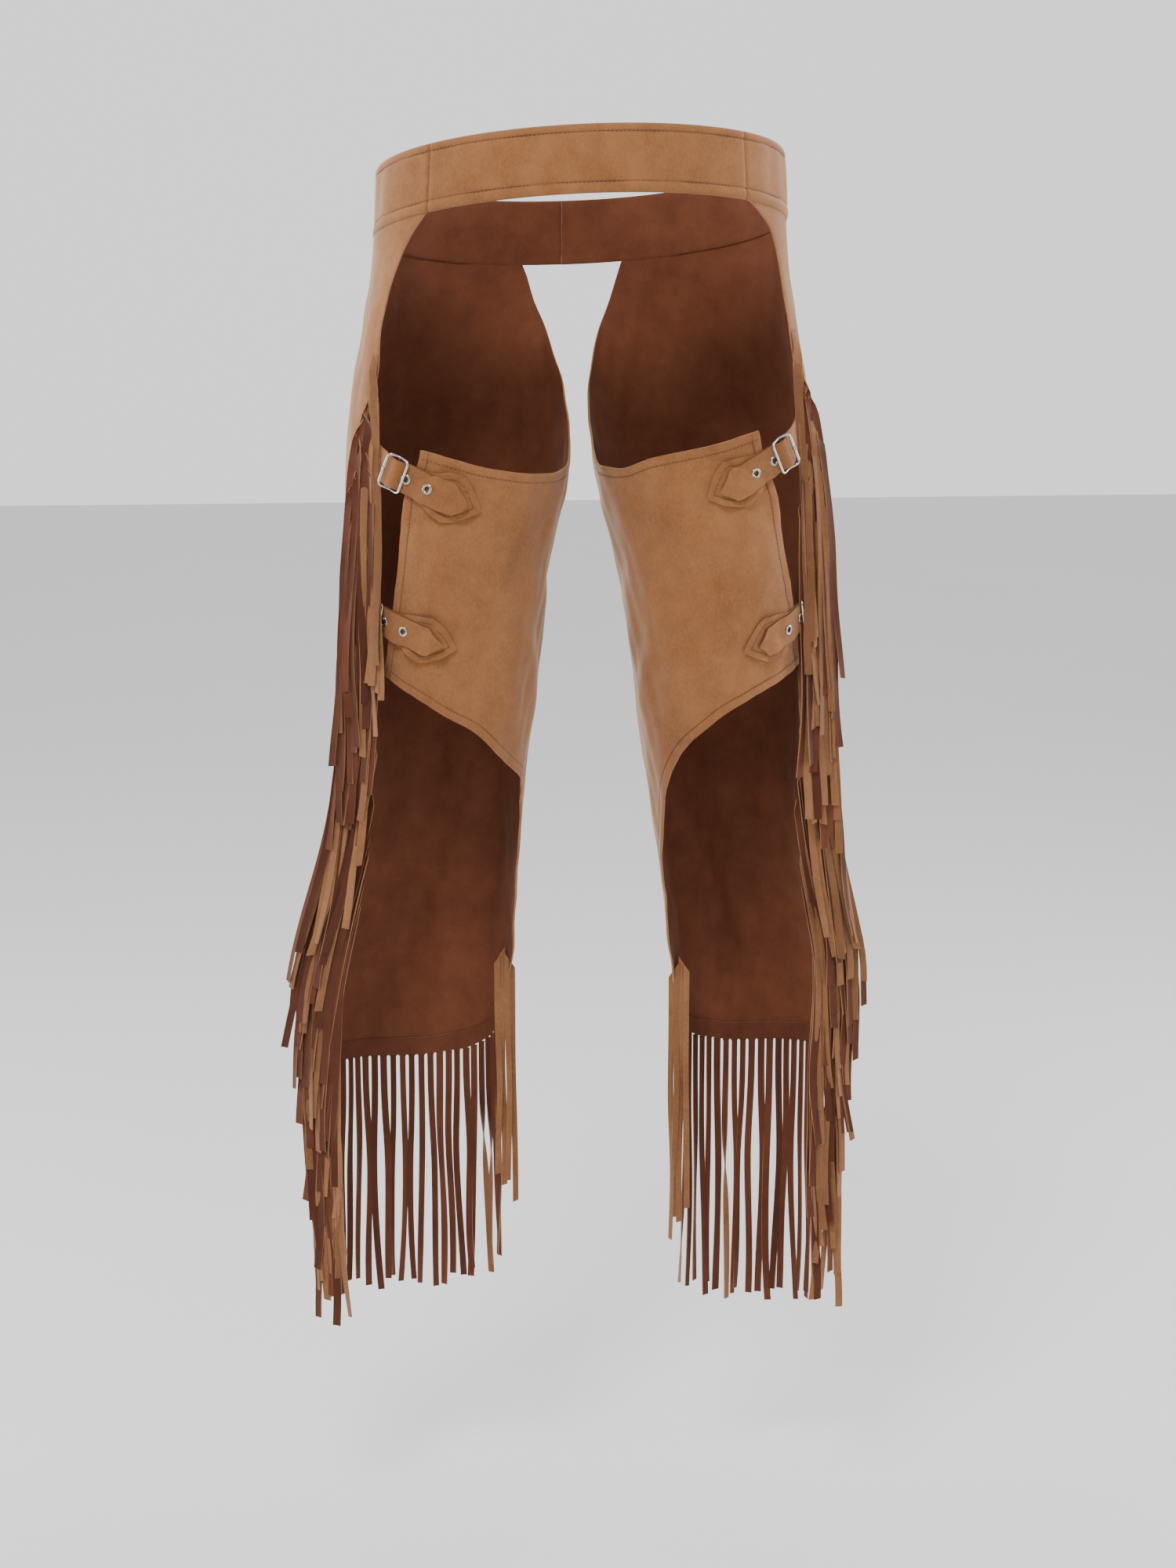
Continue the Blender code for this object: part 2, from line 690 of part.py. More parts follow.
def frame_of(place_at, side, level, along):
    """Place, direction to the tip, direction up across and direction out."""
    step = 0.002
    place = place_at(side, level, along, 0.0, 0.0)
    tip = unit(place_at(side, level, along + step, 0.0, 0.0)
               - place_at(side, level, along - step, 0.0, 0.0))
    up = (place_at(side, level, along, step, 0.0) - place_at(side, level, along, -step, 0.0))
    up = unit(up - tip * np.dot(up, tip))
    return place, tip, up, np.cross(tip, up) * SIDES[side]


def on_strap(side, level, along, across, out):
    """Place on a strap, which runs straight inside its buckle."""
    curved = on_curve(side, level, along, across, out)
    share = smoothstep(STRAIGHT_REACH, CURVED_FROM, abs(along))
    if share == 1.0:
        return curved
    place, tip, up, outward = frame_of(on_curve, side, level, 0.0)
    straight = place + tip * along + up * across + outward * out
    return straight + (curved - straight) * share


def add_ribbon(name, side, level, rows, finish, leans=None):
    """Strap of one thickness along rows of (along, out, lower edge, upper edge)."""
    centre = [np.array(row[:2]) for row in rows]
    leans = leans or [0.0] * len(rows)
    sides = []
    for i in range(len(rows)):
        ahead = unit(centre[min(i + 1, len(rows) - 1)] - centre[max(i - 1, 0)])
        sides.append(np.array((-ahead[1], ahead[0])))
    steps = 2
    points = []
    for sign in (1, -1):
        for i, row in enumerate(rows):
            along, out = centre[i] + sides[i] * sign * STRAP_THICK / 2
            for k in range(steps + 1):
                across = row[2] + (row[3] - row[2]) * k / steps
                points.append(on_strap(side, level, along + leans[i] * across, across, out))
    return add_piece(name, points, wall_faces(len(rows) - 1, steps), finish)


def tube(path, radius, sides, closed):
    """Round wire along a path of points, with flat ends where it is open."""
    points, faces = [], []
    count = len(path)
    for i, place in enumerate(path):
        before = path[(i - 1) % count] if closed else path[max(i - 1, 0)]
        after = path[(i + 1) % count] if closed else path[min(i + 1, count - 1)]
        ahead = unit(after - before)
        side = unit(np.cross(ahead, TUBE_REFERENCE))
        other = np.cross(ahead, side)
        for k in range(sides):
            turn = 2 * math.pi * (k + 0.5) / sides
            points.append(place + (side * math.cos(turn) + other * math.sin(turn)) * radius)
    spans = count if closed else count - 1
    for i in range(spans):
        for k in range(sides):
            a, b = i * sides + k, i * sides + (k + 1) % sides
            c, d = ((i + 1) % count) * sides, (k + 1) % sides
            faces.append((a, b, c + d, c + k))
    if not closed:
        faces.append(tuple(range(sides - 1, -1, -1)))
        faces.append(tuple(range((count - 1) * sides, count * sides)))
    return points, faces


TUBE_REFERENCE = np.array((0.0, 0.0, 1.0))


def to_world(frame, local):
    place, tip, up, out = frame
    return [place + tip * p[0] + up * p[1] + out * p[2] for p in local]


def buckle_path():
    """Rectangle with round corners, its middle bent in towards the cloth."""
    long, tall = BUCKLE_HALF_LENGTH, BUCKLE_HALF_HEIGHT
    path = []
    for x_sign, y_sign, first in ((1, 1, 0), (-1, 1, 90), (-1, -1, 180), (1, -1, 270)):
        centre = (x_sign * (long - BUCKLE_CORNER), y_sign * (tall - BUCKLE_CORNER))
        for turn in (first, first + 45, first + 90):
            x = centre[0] + BUCKLE_CORNER * math.cos(math.radians(turn))
            y = centre[1] + BUCKLE_CORNER * math.sin(math.radians(turn))
            path.append((x, y))
        if x_sign != y_sign or first == 180:
            continue
        path.append((0.0, tall))
    path.insert(10, (0.0, -tall))
    rise = BUCKLE_END_OUT - BUCKLE_MIDDLE_OUT
    return [np.array((x, y, BUCKLE_MIDDLE_OUT + rise * min(1.0, abs(x) / (long * 0.85))))
            for x, y in path]


def add_buckle(side, level):
    frame = frame_of(on_strap, side, level, 0.0)
    name = "buckle_" + side + "_" + level
    ring, faces = tube(buckle_path(), BAR_RADIUS, 6, True)
    buckle = add_piece(name, to_world(frame, ring), faces, "metal")
    tall = BUCKLE_HALF_HEIGHT
    bar = [np.array((0.0, -tall, BUCKLE_MIDDLE_OUT)), np.array((0.0, tall, BUCKLE_MIDDLE_OUT))]
    prong_x = -BUCKLE_HALF_LENGTH
    prong = [np.array((prong_x, -PRONG_LENGTH / 2, BUCKLE_END_OUT)),
             np.array((prong_x, PRONG_LENGTH / 2, BUCKLE_END_OUT))]
    for suffix, path, radius in (("_bar", bar, BAR_RADIUS * 0.9), ("_prong", prong, PRONG_RADIUS)):
        points, faces = tube(path, radius, 8, False)
        helper = add_helper(name + suffix, to_world(frame, points), faces)
        apply_boolean(buckle, helper, "UNION")


def turned_ring(profile, sides):
    """Closed ring turned about the out direction from (radius, out) pairs."""
    points, faces = [], []
    for k in range(sides):
        turn = 2 * math.pi * k / sides
        for radius, out in profile:
            points.append((radius * math.cos(turn), radius * math.sin(turn), out))
    count = len(profile)
    for k in range(sides):
        for i in range(count):
            a, b = k * count + i, k * count + (i + 1) % count
            c = ((k + 1) % sides) * count
            faces.append((a, b, c + (i + 1) % count, c + i))
    return points, faces


def edge_distance(side, level, across):
    """How far from the buckle's middle this line of the tongue meets the panel's edge."""
    along = 0.0
    while strap_angle_short_of_edge(side, level, along, across):
        along -= 0.0002
    return along


def strap_angle_short_of_edge(side, level, along, across):
    angle, z = strap_place(side, level, along, across)
    return angle - 360.0 < EDGE_CURVES[side][0](z)


def tongue_rows(side, level):
    """Root behind the panel's outer edge, then the stretch through the buckle."""
    lower, upper = TONGUE[0][2:]
    edge = edge_distance(side, level, 0.0)
    slant = edge_distance(side, level, upper) - edge_distance(side, level, lower)
    root = [(edge + past, out, lower, upper) for past, out in TONGUE_ROOT]
    leans = [slant / (upper - lower)] * len(root) + [0.0] * len(TONGUE)
    return root + TONGUE, leans


def add_tongue(side, level):
    """Pointed strap with its two punched holes and their eyelets."""
    name = side + "_" + level
    rows, leans = tongue_rows(side, level)
    tongue = add_ribbon("strap_tongue_" + name, side, level, rows, "suede_strap", leans)
    top = TONGUE_LYING + STRAP_THICK / 2 + GAP
    under = TONGUE_LYING - STRAP_THICK / 2
    for number, along in enumerate(EYELET_STATIONS, start=1):
        frame = frame_of(on_strap, side, level, along)
        ring = []
        for height in (TONGUE_LYING - PUNCH_REACH, TONGUE_LYING + PUNCH_REACH):
            for k in range(PUNCH_SIDES):
                turn = 2 * math.pi * k / PUNCH_SIDES
                ring.append(np.array((PUNCHED_RADIUS * math.cos(turn),
                                      PUNCHED_RADIUS * math.sin(turn), height)))
        faces = [tuple(range(PUNCH_SIDES)), tuple(range(PUNCH_SIDES, 2 * PUNCH_SIDES))]
        for k in range(PUNCH_SIDES):
            after = (k + 1) % PUNCH_SIDES
            faces.append((k, after, PUNCH_SIDES + after, PUNCH_SIDES + k))
        cutter = add_helper("punch_" + name + "_" + str(number), to_world(frame, ring), faces)
        apply_boolean(tongue, cutter, "DIFFERENCE")
        profile = [(EYELET_BORE, under), (EYELET_BARREL, under), (EYELET_BARREL, top),
                   (EYELET_RADIUS, top), (EYELET_BORE, top + EYELET_FLANGE)]
        points, faces = turned_ring(profile, EYELET_SIDES)
        add_piece("eyelet_" + name + "_" + str(number), to_world(frame, points), faces, "metal")


def clear_scene():
    for existing in list(bpy.data.objects):
        bpy.data.objects.remove(existing)


def main():
    clear_scene()
    lap = BAND_WALL + GAP
    add_band("waistband_back", -BAND_SEAM_ANGLE, BAND_SEAM_ANGLE, 12, 0.0)
    add_band("waistband_left", BAND_SEAM_ANGLE, BAND_LEFT_END, 18, lap)
    add_band("waistband_right", -BAND_RIGHT_END, -BAND_SEAM_ANGLE, 18, 0.0)
    for side in SIDES:
        lines = add_leg(side)
        add_side_fringe(lines, side)
        add_hem_fringe(lines, side)
        for level in ("top", "low"):
            add_ribbon("strap_patch_" + side + "_" + level, side, level, PATCH, "suede_strap")
            add_tongue(side, level)
            add_buckle(side, level)


main()
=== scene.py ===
"""Looks of the fringed suede chaps: cloth with its folds, cut strands, sewing and fittings.

Metres, +Z up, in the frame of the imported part: the origin is the middle of the waistband
ring, the wearer's left is +X and the back is +Y. A place on a leg panel is an angle round
the leg (0 back, 90 outside, 180 front, 270 inside), a height and a distance out.
"""
import math

import bmesh
import bpy
import numpy as np
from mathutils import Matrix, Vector
from mathutils.bvhtree import BVHTree
from mathutils.kdtree import KDTree


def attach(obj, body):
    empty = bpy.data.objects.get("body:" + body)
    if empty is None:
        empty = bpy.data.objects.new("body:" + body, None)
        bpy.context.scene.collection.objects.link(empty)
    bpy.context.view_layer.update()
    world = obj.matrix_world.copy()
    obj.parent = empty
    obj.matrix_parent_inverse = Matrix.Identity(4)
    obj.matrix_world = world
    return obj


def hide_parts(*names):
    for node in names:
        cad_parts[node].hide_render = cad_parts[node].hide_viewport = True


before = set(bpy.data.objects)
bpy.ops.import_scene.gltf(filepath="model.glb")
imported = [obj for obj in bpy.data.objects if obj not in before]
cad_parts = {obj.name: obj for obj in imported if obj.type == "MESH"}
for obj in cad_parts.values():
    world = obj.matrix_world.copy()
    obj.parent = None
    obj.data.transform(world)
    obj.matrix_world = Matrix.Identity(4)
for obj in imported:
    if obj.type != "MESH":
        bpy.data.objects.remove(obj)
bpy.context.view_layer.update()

SIDES = {"left": 1.0, "right": -1.0}
SIDE_COLUMN = {"left": 1, "right": 2}
GAP = 0.0003
SEAM_TUCK = 0.0035
WALL = 0.0015

# Waistband
BAND_HEIGHT = 0.0508
BAND_WALL = 0.0026
BAND_HALF_WIDTH = 0.1585
BAND_HALF_DEPTH = 0.1000
BAND_FLARE = 0.055
BAND_RISE = 0.0310
BAND_TILT = 0.0058
BAND_SEAM_ANGLE = 48.5
BAND_LAP_START = 160.0
BAND_LAP_END = 175.0
BAND_LEFT_END = 187.0
BAND_RIGHT_END = 183.0

# Leg cross sections: height, inner left, inner right, outer left, outer right, back, front
LEG_SECTIONS = [
    (-0.720, 0.052, 0.079, 0.2240, 0.2150, 0.040, -0.098),
    (-0.660, 0.053, 0.078, 0.2190, 0.2110, 0.042, -0.095),
    (-0.590, 0.051, 0.073, 0.2010, 0.1990, 0.046, -0.091),
    (-0.520, 0.050, 0.064, 0.1850, 0.1860, 0.052, -0.088),
    (-0.460, 0.045, 0.055, 0.1790, 0.1810, 0.059, -0.085),
    (-0.400, 0.038, 0.046, 0.1785, 0.1810, 0.066, -0.085),
    (-0.340, 0.031, 0.038, 0.1800, 0.1825, 0.073, -0.087),
    (-0.280, 0.024, 0.028, 0.1825, 0.1840, 0.079, -0.090),
    (-0.230, 0.014, 0.016, 0.1845, 0.1845, 0.083, -0.092),
    (-0.190, 0.008, 0.008, 0.1830, 0.1820, 0.084, -0.093),
    (-0.150, 0.005, 0.005, 0.1790, 0.1780, 0.085, -0.094),
    (-0.100, 0.004, 0.004, 0.1700, 0.1695, 0.086, -0.095),
    (-0.060, 0.004, 0.004, 0.1630, 0.1630, 0.087, -0.096),
    (-0.025, 0.004, 0.004, 0.1598, 0.1598, 0.088, -0.097),
    (0.030, 0.004, 0.004, 0.1570, 0.1570, 0.088, -0.097),
]
HIP_BLEND_LOW = -0.190
HIP_BLEND_HIGH = -0.060

# Outer back edge, with the seat cut-out above: height, left angle, right angle
OUTER_EDGE = [
    (-0.720, 96.0, 92.0),
    (-0.660, 92.0, 88.0),
    (-0.620, 82.0, 79.0),
    (-0.580, 72.0, 71.0),
    (-0.530, 68.0, 70.0),
    (-0.470, 66.0, 72.0),
    (-0.410, 66.0, 76.0),
    (-0.360, 68.0, 79.0),
    (-0.320, 68.5, 79.0),
    (-0.285, 63.0, 74.0),
    (-0.240, 56.0, 67.0),
    (-0.180, 55.0, 62.0),
    (-0.130, 55.0, 62.0),
    (-0.095, 58.0, 63.0),
    (-0.070, 55.0, 61.0),
    (-0.045, 48.5, 58.0),
    (-0.025, 40.0, 52.0),
    (-0.010, 31.5, 41.0),
    (0.006, 25.0, 26.0),
]
# Line that the side strands hang along: height, left angle, right angle
FRINGE_LINE = [
    (-0.720, 96.0, 92.0),
    (-0.660, 92.0, 88.0),
    (-0.620, 82.0, 79.0),
    (-0.580, 72.0, 71.0),
    (-0.530, 64.5, 65.0),
    (-0.470, 60.0, 63.0),
    (-0.410, 56.0, 66.0),
    (-0.350, 51.5, 69.0),
    (-0.300, 47.5, 67.5),
    (-0.240, 47.0, 62.0),
    (-0.180, 50.0, 60.0),
    (-0.130, 55.0, 62.0),
    (-0.095, 58.0, 63.0),
]
# Free edge on the back of the thigh: height, left angle, right angle
FREE_EDGE = [
    (-0.370, 406.0, 418.0),
    (-0.340, 401.5, 414.0),
    (-0.300, 395.5, 404.5),
    (-0.260, 392.0, 397.5),
    (-0.220, 389.0, 393.0),
    (-0.190, 381.5, 386.5),
    (-0.170, 380.0, 383.0),
]
# Upper edge past the belt, then down the open front to the back of the thigh: angle, height
FRONT_END_ANGLE = 212.0
FRONT_END_HEIGHT = -0.055
TOP_EDGE = {
    "left": [(222.0, -0.085), (238.0, -0.122), (254.0, -0.160), (270.0, -0.191),
             (285.0, -0.206), (302.0, -0.2090), (319.0, -0.2075), (343.0, -0.2020),
             (366.0, -0.1930), (380.0, -0.1864)],
    "right": [(222.0, -0.085), (238.0, -0.122), (254.0, -0.160), (270.0, -0.191),
              (285.0, -0.206), (302.0, -0.2060), (329.0, -0.1946), (353.0, -0.1865),
              (369.0, -0.1806), (383.0, -0.1740)],
}
# Lower edge: hem round the front, near-upright inner edge, slanting edge behind the thigh
BOTTOM_EDGE = {
    "left": [(96.0, -0.700), (130.0, -0.708), (175.0, -0.712), (210.0, -0.7045),
             (225.0, -0.694), (240.0, -0.6745), (252.0, -0.640), (258.0, -0.600),
             (264.0, -0.555), (272.0, -0.505), (282.0, -0.475), (292.0, -0.459),
             (306.0, -0.447), (324.0, -0.431), (342.0, -0.411), (364.0, -0.395),
             (384.0, -0.380), (406.0, -0.365)],
    "right": [(92.0, -0.692), (130.0, -0.700), (175.0, -0.705), (215.0, -0.697),
              (235.0, -0.680), (249.0, -0.655), (258.0, -0.615), (268.0, -0.575),
              (282.0, -0.530), (296.0, -0.490), (306.0, -0.462), (322.0, -0.433),
              (342.0, -0.411), (366.0, -0.390), (396.0, -0.3734), (418.0, -0.363)],
}
HEM_INNER_ANGLE = {"left": 250.0, "right": 248.0}
HEM_OUTER_ANGLE = {"left": 114.0, "right": 110.0}
# Largest soft folds: angle, height, angle reach, height reach, depth
FOLDS = [
    (150.0, -0.600, 13.0, 0.150, 0.0035),
    (196.0, -0.580, 14.0, 0.170, -0.0045),
    (228.0, -0.560, 12.0, 0.130, 0.0040),
    (120.0, -0.380, 16.0, 0.120, -0.0025),
    (205.0, -0.350, 18.0, 0.090, 0.0025),
    (345.0, -0.330, 14.0, 0.080, -0.0022),
    (372.0, -0.290, 11.0, 0.070, 0.0018),
]
# Small creases: angle, height, half length, half width, turn from level in degrees, depth
CREASES = [
    (352.0, -0.236, 0.040, 0.0060, -14.0, -0.0009),
    (340.0, -0.262, 0.050, 0.0080, -22.0, 0.0008),
    (325.0, -0.300, 0.045, 0.0100, 30.0, -0.0009),
    (333.0, -0.352, 0.050, 0.0090, 12.0, 0.0008),
    (300.0, -0.330, 0.060, 0.0110, 48.0, -0.0014),
    (287.0, -0.380, 0.060, 0.0100, 60.0, 0.0013),
    (268.0, -0.300, 0.055, 0.0110, 40.0, -0.0016),
    (252.0, -0.250, 0.060, 0.0120, 28.0, 0.0018),
    (236.0, -0.200, 0.055, 0.0110, 20.0, -0.0016),
    (214.0, -0.180, 0.060, 0.0140, 78.0, 0.0018),
    (188.0, -0.230, 0.080, 0.0160, 84.0, -0.0018),
    (160.0, -0.190, 0.075, 0.0150, 96.0, 0.0016),
    (128.0, -0.160, 0.060, 0.0130, 70.0, -0.0014),
    (100.0, -0.200, 0.060, 0.0120, 104.0, 0.0010),
    (176.0, -0.430, 0.090, 0.0170, 92.0, 0.0020),
    (212.0, -0.470, 0.070, 0.0140, 80.0, -0.0018),
    (140.0, -0.500, 0.080, 0.0150, 97.0, -0.0018),
    (238.0, -0.600, 0.050, 0.0120, 74.0, -0.0014),
    (168.0, -0.640, 0.050, 0.0130, 86.0, 0.0018),
    (110.0, -0.610, 0.060, 0.0130, 95.0, 0.0012),
    (372.0, -0.205, 0.022, 0.0034, -24.0, -0.0011),
    (366.0, -0.216, 0.028, 0.0040, -20.0, 0.0011),
    (376.0, -0.238, 0.024, 0.0042, -30.0, -0.0010),
    (383.0, -0.300, 0.022, 0.0040, 12.0, 0.0009),
    (390.0, -0.340, 0.028, 0.0048, -26.0, -0.0011),
    (362.0, -0.322, 0.030, 0.0060, -32.0, 0.0009),
]
METRES_PER_DEGREE = 0.00135
# Broad unevenness: waves a degree, waves a metre, phase, depth
UNEVEN = [
    (0.026, 5.5, 0.4, 0.00050),
    (0.043, -9.0, 2.1, 0.00035),
    (0.071, 14.0, 4.4, 0.00025),
    (-0.012, 21.0, 1.2, 0.00022),
    (0.110, 6.0, 5.3, 0.00012),
]

# Side fringe
STRIP_WIDTH = 0.0066
STRIP_THICK = 0.0014
STRIP_SEAT = 0.0007
SIDE_STRANDS = 104
SIDE_STRAND_WIDTH = 0.0062
SIDE_STRAND_LENGTH = 0.244
SIDE_TOP = {"left": -0.116, "right": -0.100}
SIDE_BOTTOM = {"left": -0.690, "right": -0.682}
SIDE_COLUMNS = (-0.0088, 0.0088, -0.0004, 0.0170)
SIDE_COLUMN_JITTER = 0.0030
EDGE_STRANDS = 4
SPREAD_DROP = 0.170
CHORD_SHARE = 0.7
LOW_SHIFT_FROM = -0.60
FACING = {"left": 33.0, "right": 28.0}
FLIPPED_SHARE = {"left": 0.60, "right": 0.42}
FLANK_SHIFT = {"left": 0.0045, "right": 0.0}
FLANK_STRANDS = {"left": 26, "right": 0}
LOW_SHIFT = {"left": 0.008, "right": 0.017}
GUIDE_STEP = 0.002
GUIDE_REACH = 30
FALL_DROP = 0.026
FALL_OUT = 0.0065
FALL_SLOPE = {"left": 0.048, "right": 0.070}
GUIDE_LOW = -0.700
BARE_ABOVE = 0.042
BARE_BELOW = 0.018
LEAN_START = -0.680
LEAN_LENGTH = 0.200
LEAN_IN = {"left": 0.020, "right": 0.010}
STRAND_RINGS = 26
STRAND_THICK = 0.0010

# Hem fringe
HEM_STRIP_HEIGHT = 0.0105
HEM_STRANDS = {"left": 27, "right": 23}
HEM_STRAND_LENGTH = {"left": 0.205, "right": 0.232}
HEM_STRAND_WIDTH = 0.0055
HEM_TUCK = 0.0045
HEM_ROUND = 0.0019
CORNER_STRANDS = 4
CORNER_SPREAD = 0.0042
CORNER_START = -0.0036
CORNER_SLOPE = 1.5
CORNER_PEAK = {"left": -0.6180, "right": -0.6300}
CORNER_LENGTHS = (1.02, 0.96, 1.00, 0.92)

# Buckled straps
STRAP_THICK = 0.0014
STRAIGHT_REACH = 0.0062
CURVED_FROM = 0.0125
BAR_RADIUS = 0.0010
BUCKLE_HALF_LENGTH = 0.0090
BUCKLE_HALF_HEIGHT = 0.0131
BUCKLE_CORNER = 0.0028
BUCKLE_END_OUT = 0.0063
BUCKLE_MIDDLE_OUT = 0.00345
BUCKLE_BOW = 1.3
EYELET_RADIUS = 0.0041
EYELET_BORE = 0.0021
EYELET_STATIONS = (0.0110, 0.0310)
# Middle of each buckle: angle, height, downward slope towards the tip in degrees
BUCKLES = {
    ("left", "top"): (394.5, -0.2048, 22.0),
    ("left", "low"): (409.9, -0.3184, 18.0),
    ("right", "top"): (398.5, -0.1928, 25.4),
    ("right", "low"): (419.4, -0.3212, 20.0),
}
# Tongue root, measured from the panel's outer edge: distance past it, distance out
TONGUE_ROOT = [(-0.0140, -0.0026), (0.0008, -0.0026)]
# Tongue: distance towards the tip, distance out, lower edge, upper edge
TONGUE = [
    (-0.0088, 0.00250, -0.0112, 0.0112),
    (-0.0025, 0.00660, -0.0112, 0.0112),
    (0.0000, 0.00715, -0.0112, 0.0112),
    (0.0025, 0.00660, -0.0112, 0.0112),
    (0.0064, 0.00345, -0.0112, 0.0112),
    (0.0150, 0.00345, -0.0112, 0.0112),
    (0.0330, 0.00345, -0.0112, 0.0112),
    (0.0490, 0.00345, -0.0112, 0.0112),
    (0.0502, 0.00345, -0.0112, 0.0109),
    (0.0540, 0.00345, -0.0110, 0.0080),
    (0.0552, 0.00345, -0.0106, 0.0071),
    (0.0600, 0.00345, -0.0048, 0.0034),
    (0.0628, 0.00345, -0.0014, 0.0013),
    (0.0635, 0.00345, -0.0004, 0.0006),
]
TONGUE_LYING = 0.00345
# Patch and its strap end, turned round the middle bar: same columns
PATCH = [
    (0.0025, 0.00145, -0.0106, 0.0106),
    (0.0000, 0.00145, -0.0106, 0.0106),
    (-0.0014, 0.00205, -0.0106, 0.0106),
    (-0.0020, 0.00345, -0.0106, 0.0106),
    (-0.0014, 0.00485, -0.0106, 0.0106),
    (0.0000, 0.00545, -0.0106, 0.0106),
    (0.0014, 0.00500, -0.0106, 0.0106),
    (0.0050, 0.00200, -0.0108, 0.0108),
    (0.0080, 0.00175, -0.0112, 0.0112),
    (0.0150, 0.00175, -0.0112, 0.0112),
    (0.0240, 0.00175, -0.0116, 0.0118),
    (0.0330, 0.00175, -0.0142, 0.0148),
    (0.0420, 0.00175, -0.0170, 0.0178),
    (0.0500, 0.00175, -0.0188, 0.0192),
    (0.0565, 0.00175, -0.0168, 0.0166),
    (0.0640, 0.00175, -0.0112, 0.0116),
    (0.0710, 0.00175, -0.0052, 0.0060),
    (0.0755, 0.00175, -0.0012, 0.0016),
]

# Sewing
STITCH_PITCH = 0.0032
STITCH_LENGTH = 0.0024
STITCH_RADIUS = 0.00032
HEM_STITCH_IN = 0.0070
BAND_STITCH_IN = 0.0058
BAND_STITCH_LOW = 0.0085
PATCH_STITCH_IN = 0.0052

# Photo camera: 3850 pixels of focal length on a 2000 pixel tall frame
LENS_MM = 69.3
SENSOR_MM = 36.0
CAMERA_TURN = 4.5
CAMERA_DOWN = 12.59
CAMERA_AWAY = 2.385
CAMERA_HEIGHT = 0.066
AIM_X = -0.0056
FLOOR_HEIGHT = -1.125


def monotone_curve(rows, column):
    """Smooth curve through (first column, given column) with no overshoot, for arrays."""
    rows = sorted(rows)
    xs = np.array([row[0] for row in rows])
    ys = np.array([row[column] for row in rows])
    slopes = np.diff(ys) / np.diff(xs)
    tangents = [slopes[0]]
    for before, after in zip(slopes, slopes[1:]):
        rising = before * after > 0
        tangents.append(2 * before * after / (before + after) if rising else 0.0)
    tangents = np.array(tangents + [slopes[-1]])

    def value(x):
        x = np.clip(x, xs[0], xs[-1])
        i = np.clip(np.searchsorted(xs, x, side="right") - 1, 0, len(xs) - 2)
        step = xs[i + 1] - xs[i]
        u = (x - xs[i]) / step
        return (ys[i] * (1 + 2 * u) * (1 - u) ** 2
                + ys[i + 1] * u * u * (3 - 2 * u)
                + step * tangents[i] * u * (1 - u) ** 2
                - step * tangents[i + 1] * u * u * (1 - u))

    return value


SECTION_CURVES = [monotone_curve(LEG_SECTIONS, column) for column in range(1, 7)]
FRINGE_CURVES = {side: monotone_curve(FRINGE_LINE, SIDE_COLUMN[side]) for side in SIDES}
EDGE_CURVES = {side: (monotone_curve(OUTER_EDGE, SIDE_COLUMN[side]),
                      monotone_curve(FREE_EDGE, SIDE_COLUMN[side])) for side in SIDES}


def smoothstep(low, high, x):
    u = np.clip((np.asarray(x, float) - low) / (high - low), 0.0, 1.0)
    return u * u * (3 - 2 * u)


def units(vectors):
    return vectors / np.linalg.norm(vectors, axis=-1, keepdims=True)


def fold_depth(side, angle, z):
    """How far folds, creases and unevenness move the cloth out."""
    depth = np.zeros(np.broadcast(angle, z).shape)
    for middle, height, reach, tall, deep in FOLDS:
        across, along = (angle - middle) / reach, (z - height) / tall
        depth = depth + deep * np.exp(-across * across - along * along)
    shift = 5.0 if side == "right" else 0.0
    for middle, height, long, wide, turn, deep in CREASES:
        u, v = (angle - middle - shift) * METRES_PER_DEGREE, z - height
        turn = math.radians(turn)
        along = (u * math.cos(turn) + v * math.sin(turn)) / long
        across = (v * math.cos(turn) - u * math.sin(turn)) / wide
        depth = depth + deep * np.exp(-along * along - across * across)
    for round_leg, upward, phase, deep in UNEVEN:
        wave = round_leg * angle + upward * z
        depth = depth + deep * np.sin(2 * math.pi * wave + phase + shift)
    calm = smoothstep(0.0, 0.05, np.asarray(-0.035 - z))
    return depth * calm


def leg_point(side, angle, z):
    """Middle surface of a leg panel, running on past its edges."""
    angle, z = np.broadcast_arrays(np.asarray(angle, float), np.asarray(z, float))
    inner_left, inner_right, outer_left, outer_right, back, front = (
        curve(z) for curve in SECTION_CURVES)
    inner = inner_left if side == "left" else inner_right
    outer = outer_left if side == "left" else outer_right
    turn = np.radians(angle)
    deep = fold_depth(side, angle, z)
    x = (outer + inner) / 2 + (outer - inner) / 2 * np.sin(turn)
    leg_y = (back + front) / 2 + (back - front) / 2 * np.cos(turn)
    share = np.clip(x / outer, -1.0, 1.0)
    hip_y = np.copysign(BAND_HALF_DEPTH * np.sqrt(1 - share * share), np.cos(turn))
    x = x + deep * np.sin(turn)
    hip = smoothstep(HIP_BLEND_LOW, HIP_BLEND_HIGH, z)
    y = leg_y * (1 - hip) + hip_y * hip + deep * np.cos(turn)
    return np.stack([SIDES[side] * x, y, z], axis=-1)


def leg_normal(side, angle, z):
    round_leg = leg_point(side, angle + 0.5, z) - leg_point(side, angle - 0.5, z)
    upward = leg_point(side, angle, z + 0.001) - leg_point(side, angle, z - 0.001)
    return units(-SIDES[side] * np.cross(round_leg, upward))


def on_leg(side, angle, z, out):
    return leg_point(side, angle, z) + leg_normal(side, angle, z) * np.asarray(out)[..., None]


def leg_angle(side, share, z):
    outer, free = EDGE_CURVES[side]
    return outer(z) + (free(z) - outer(z)) * share


def share_of(side, angle, z):
    outer, free = EDGE_CURVES[side]
    return (angle - outer(z)) / (free(z) - outer(z))


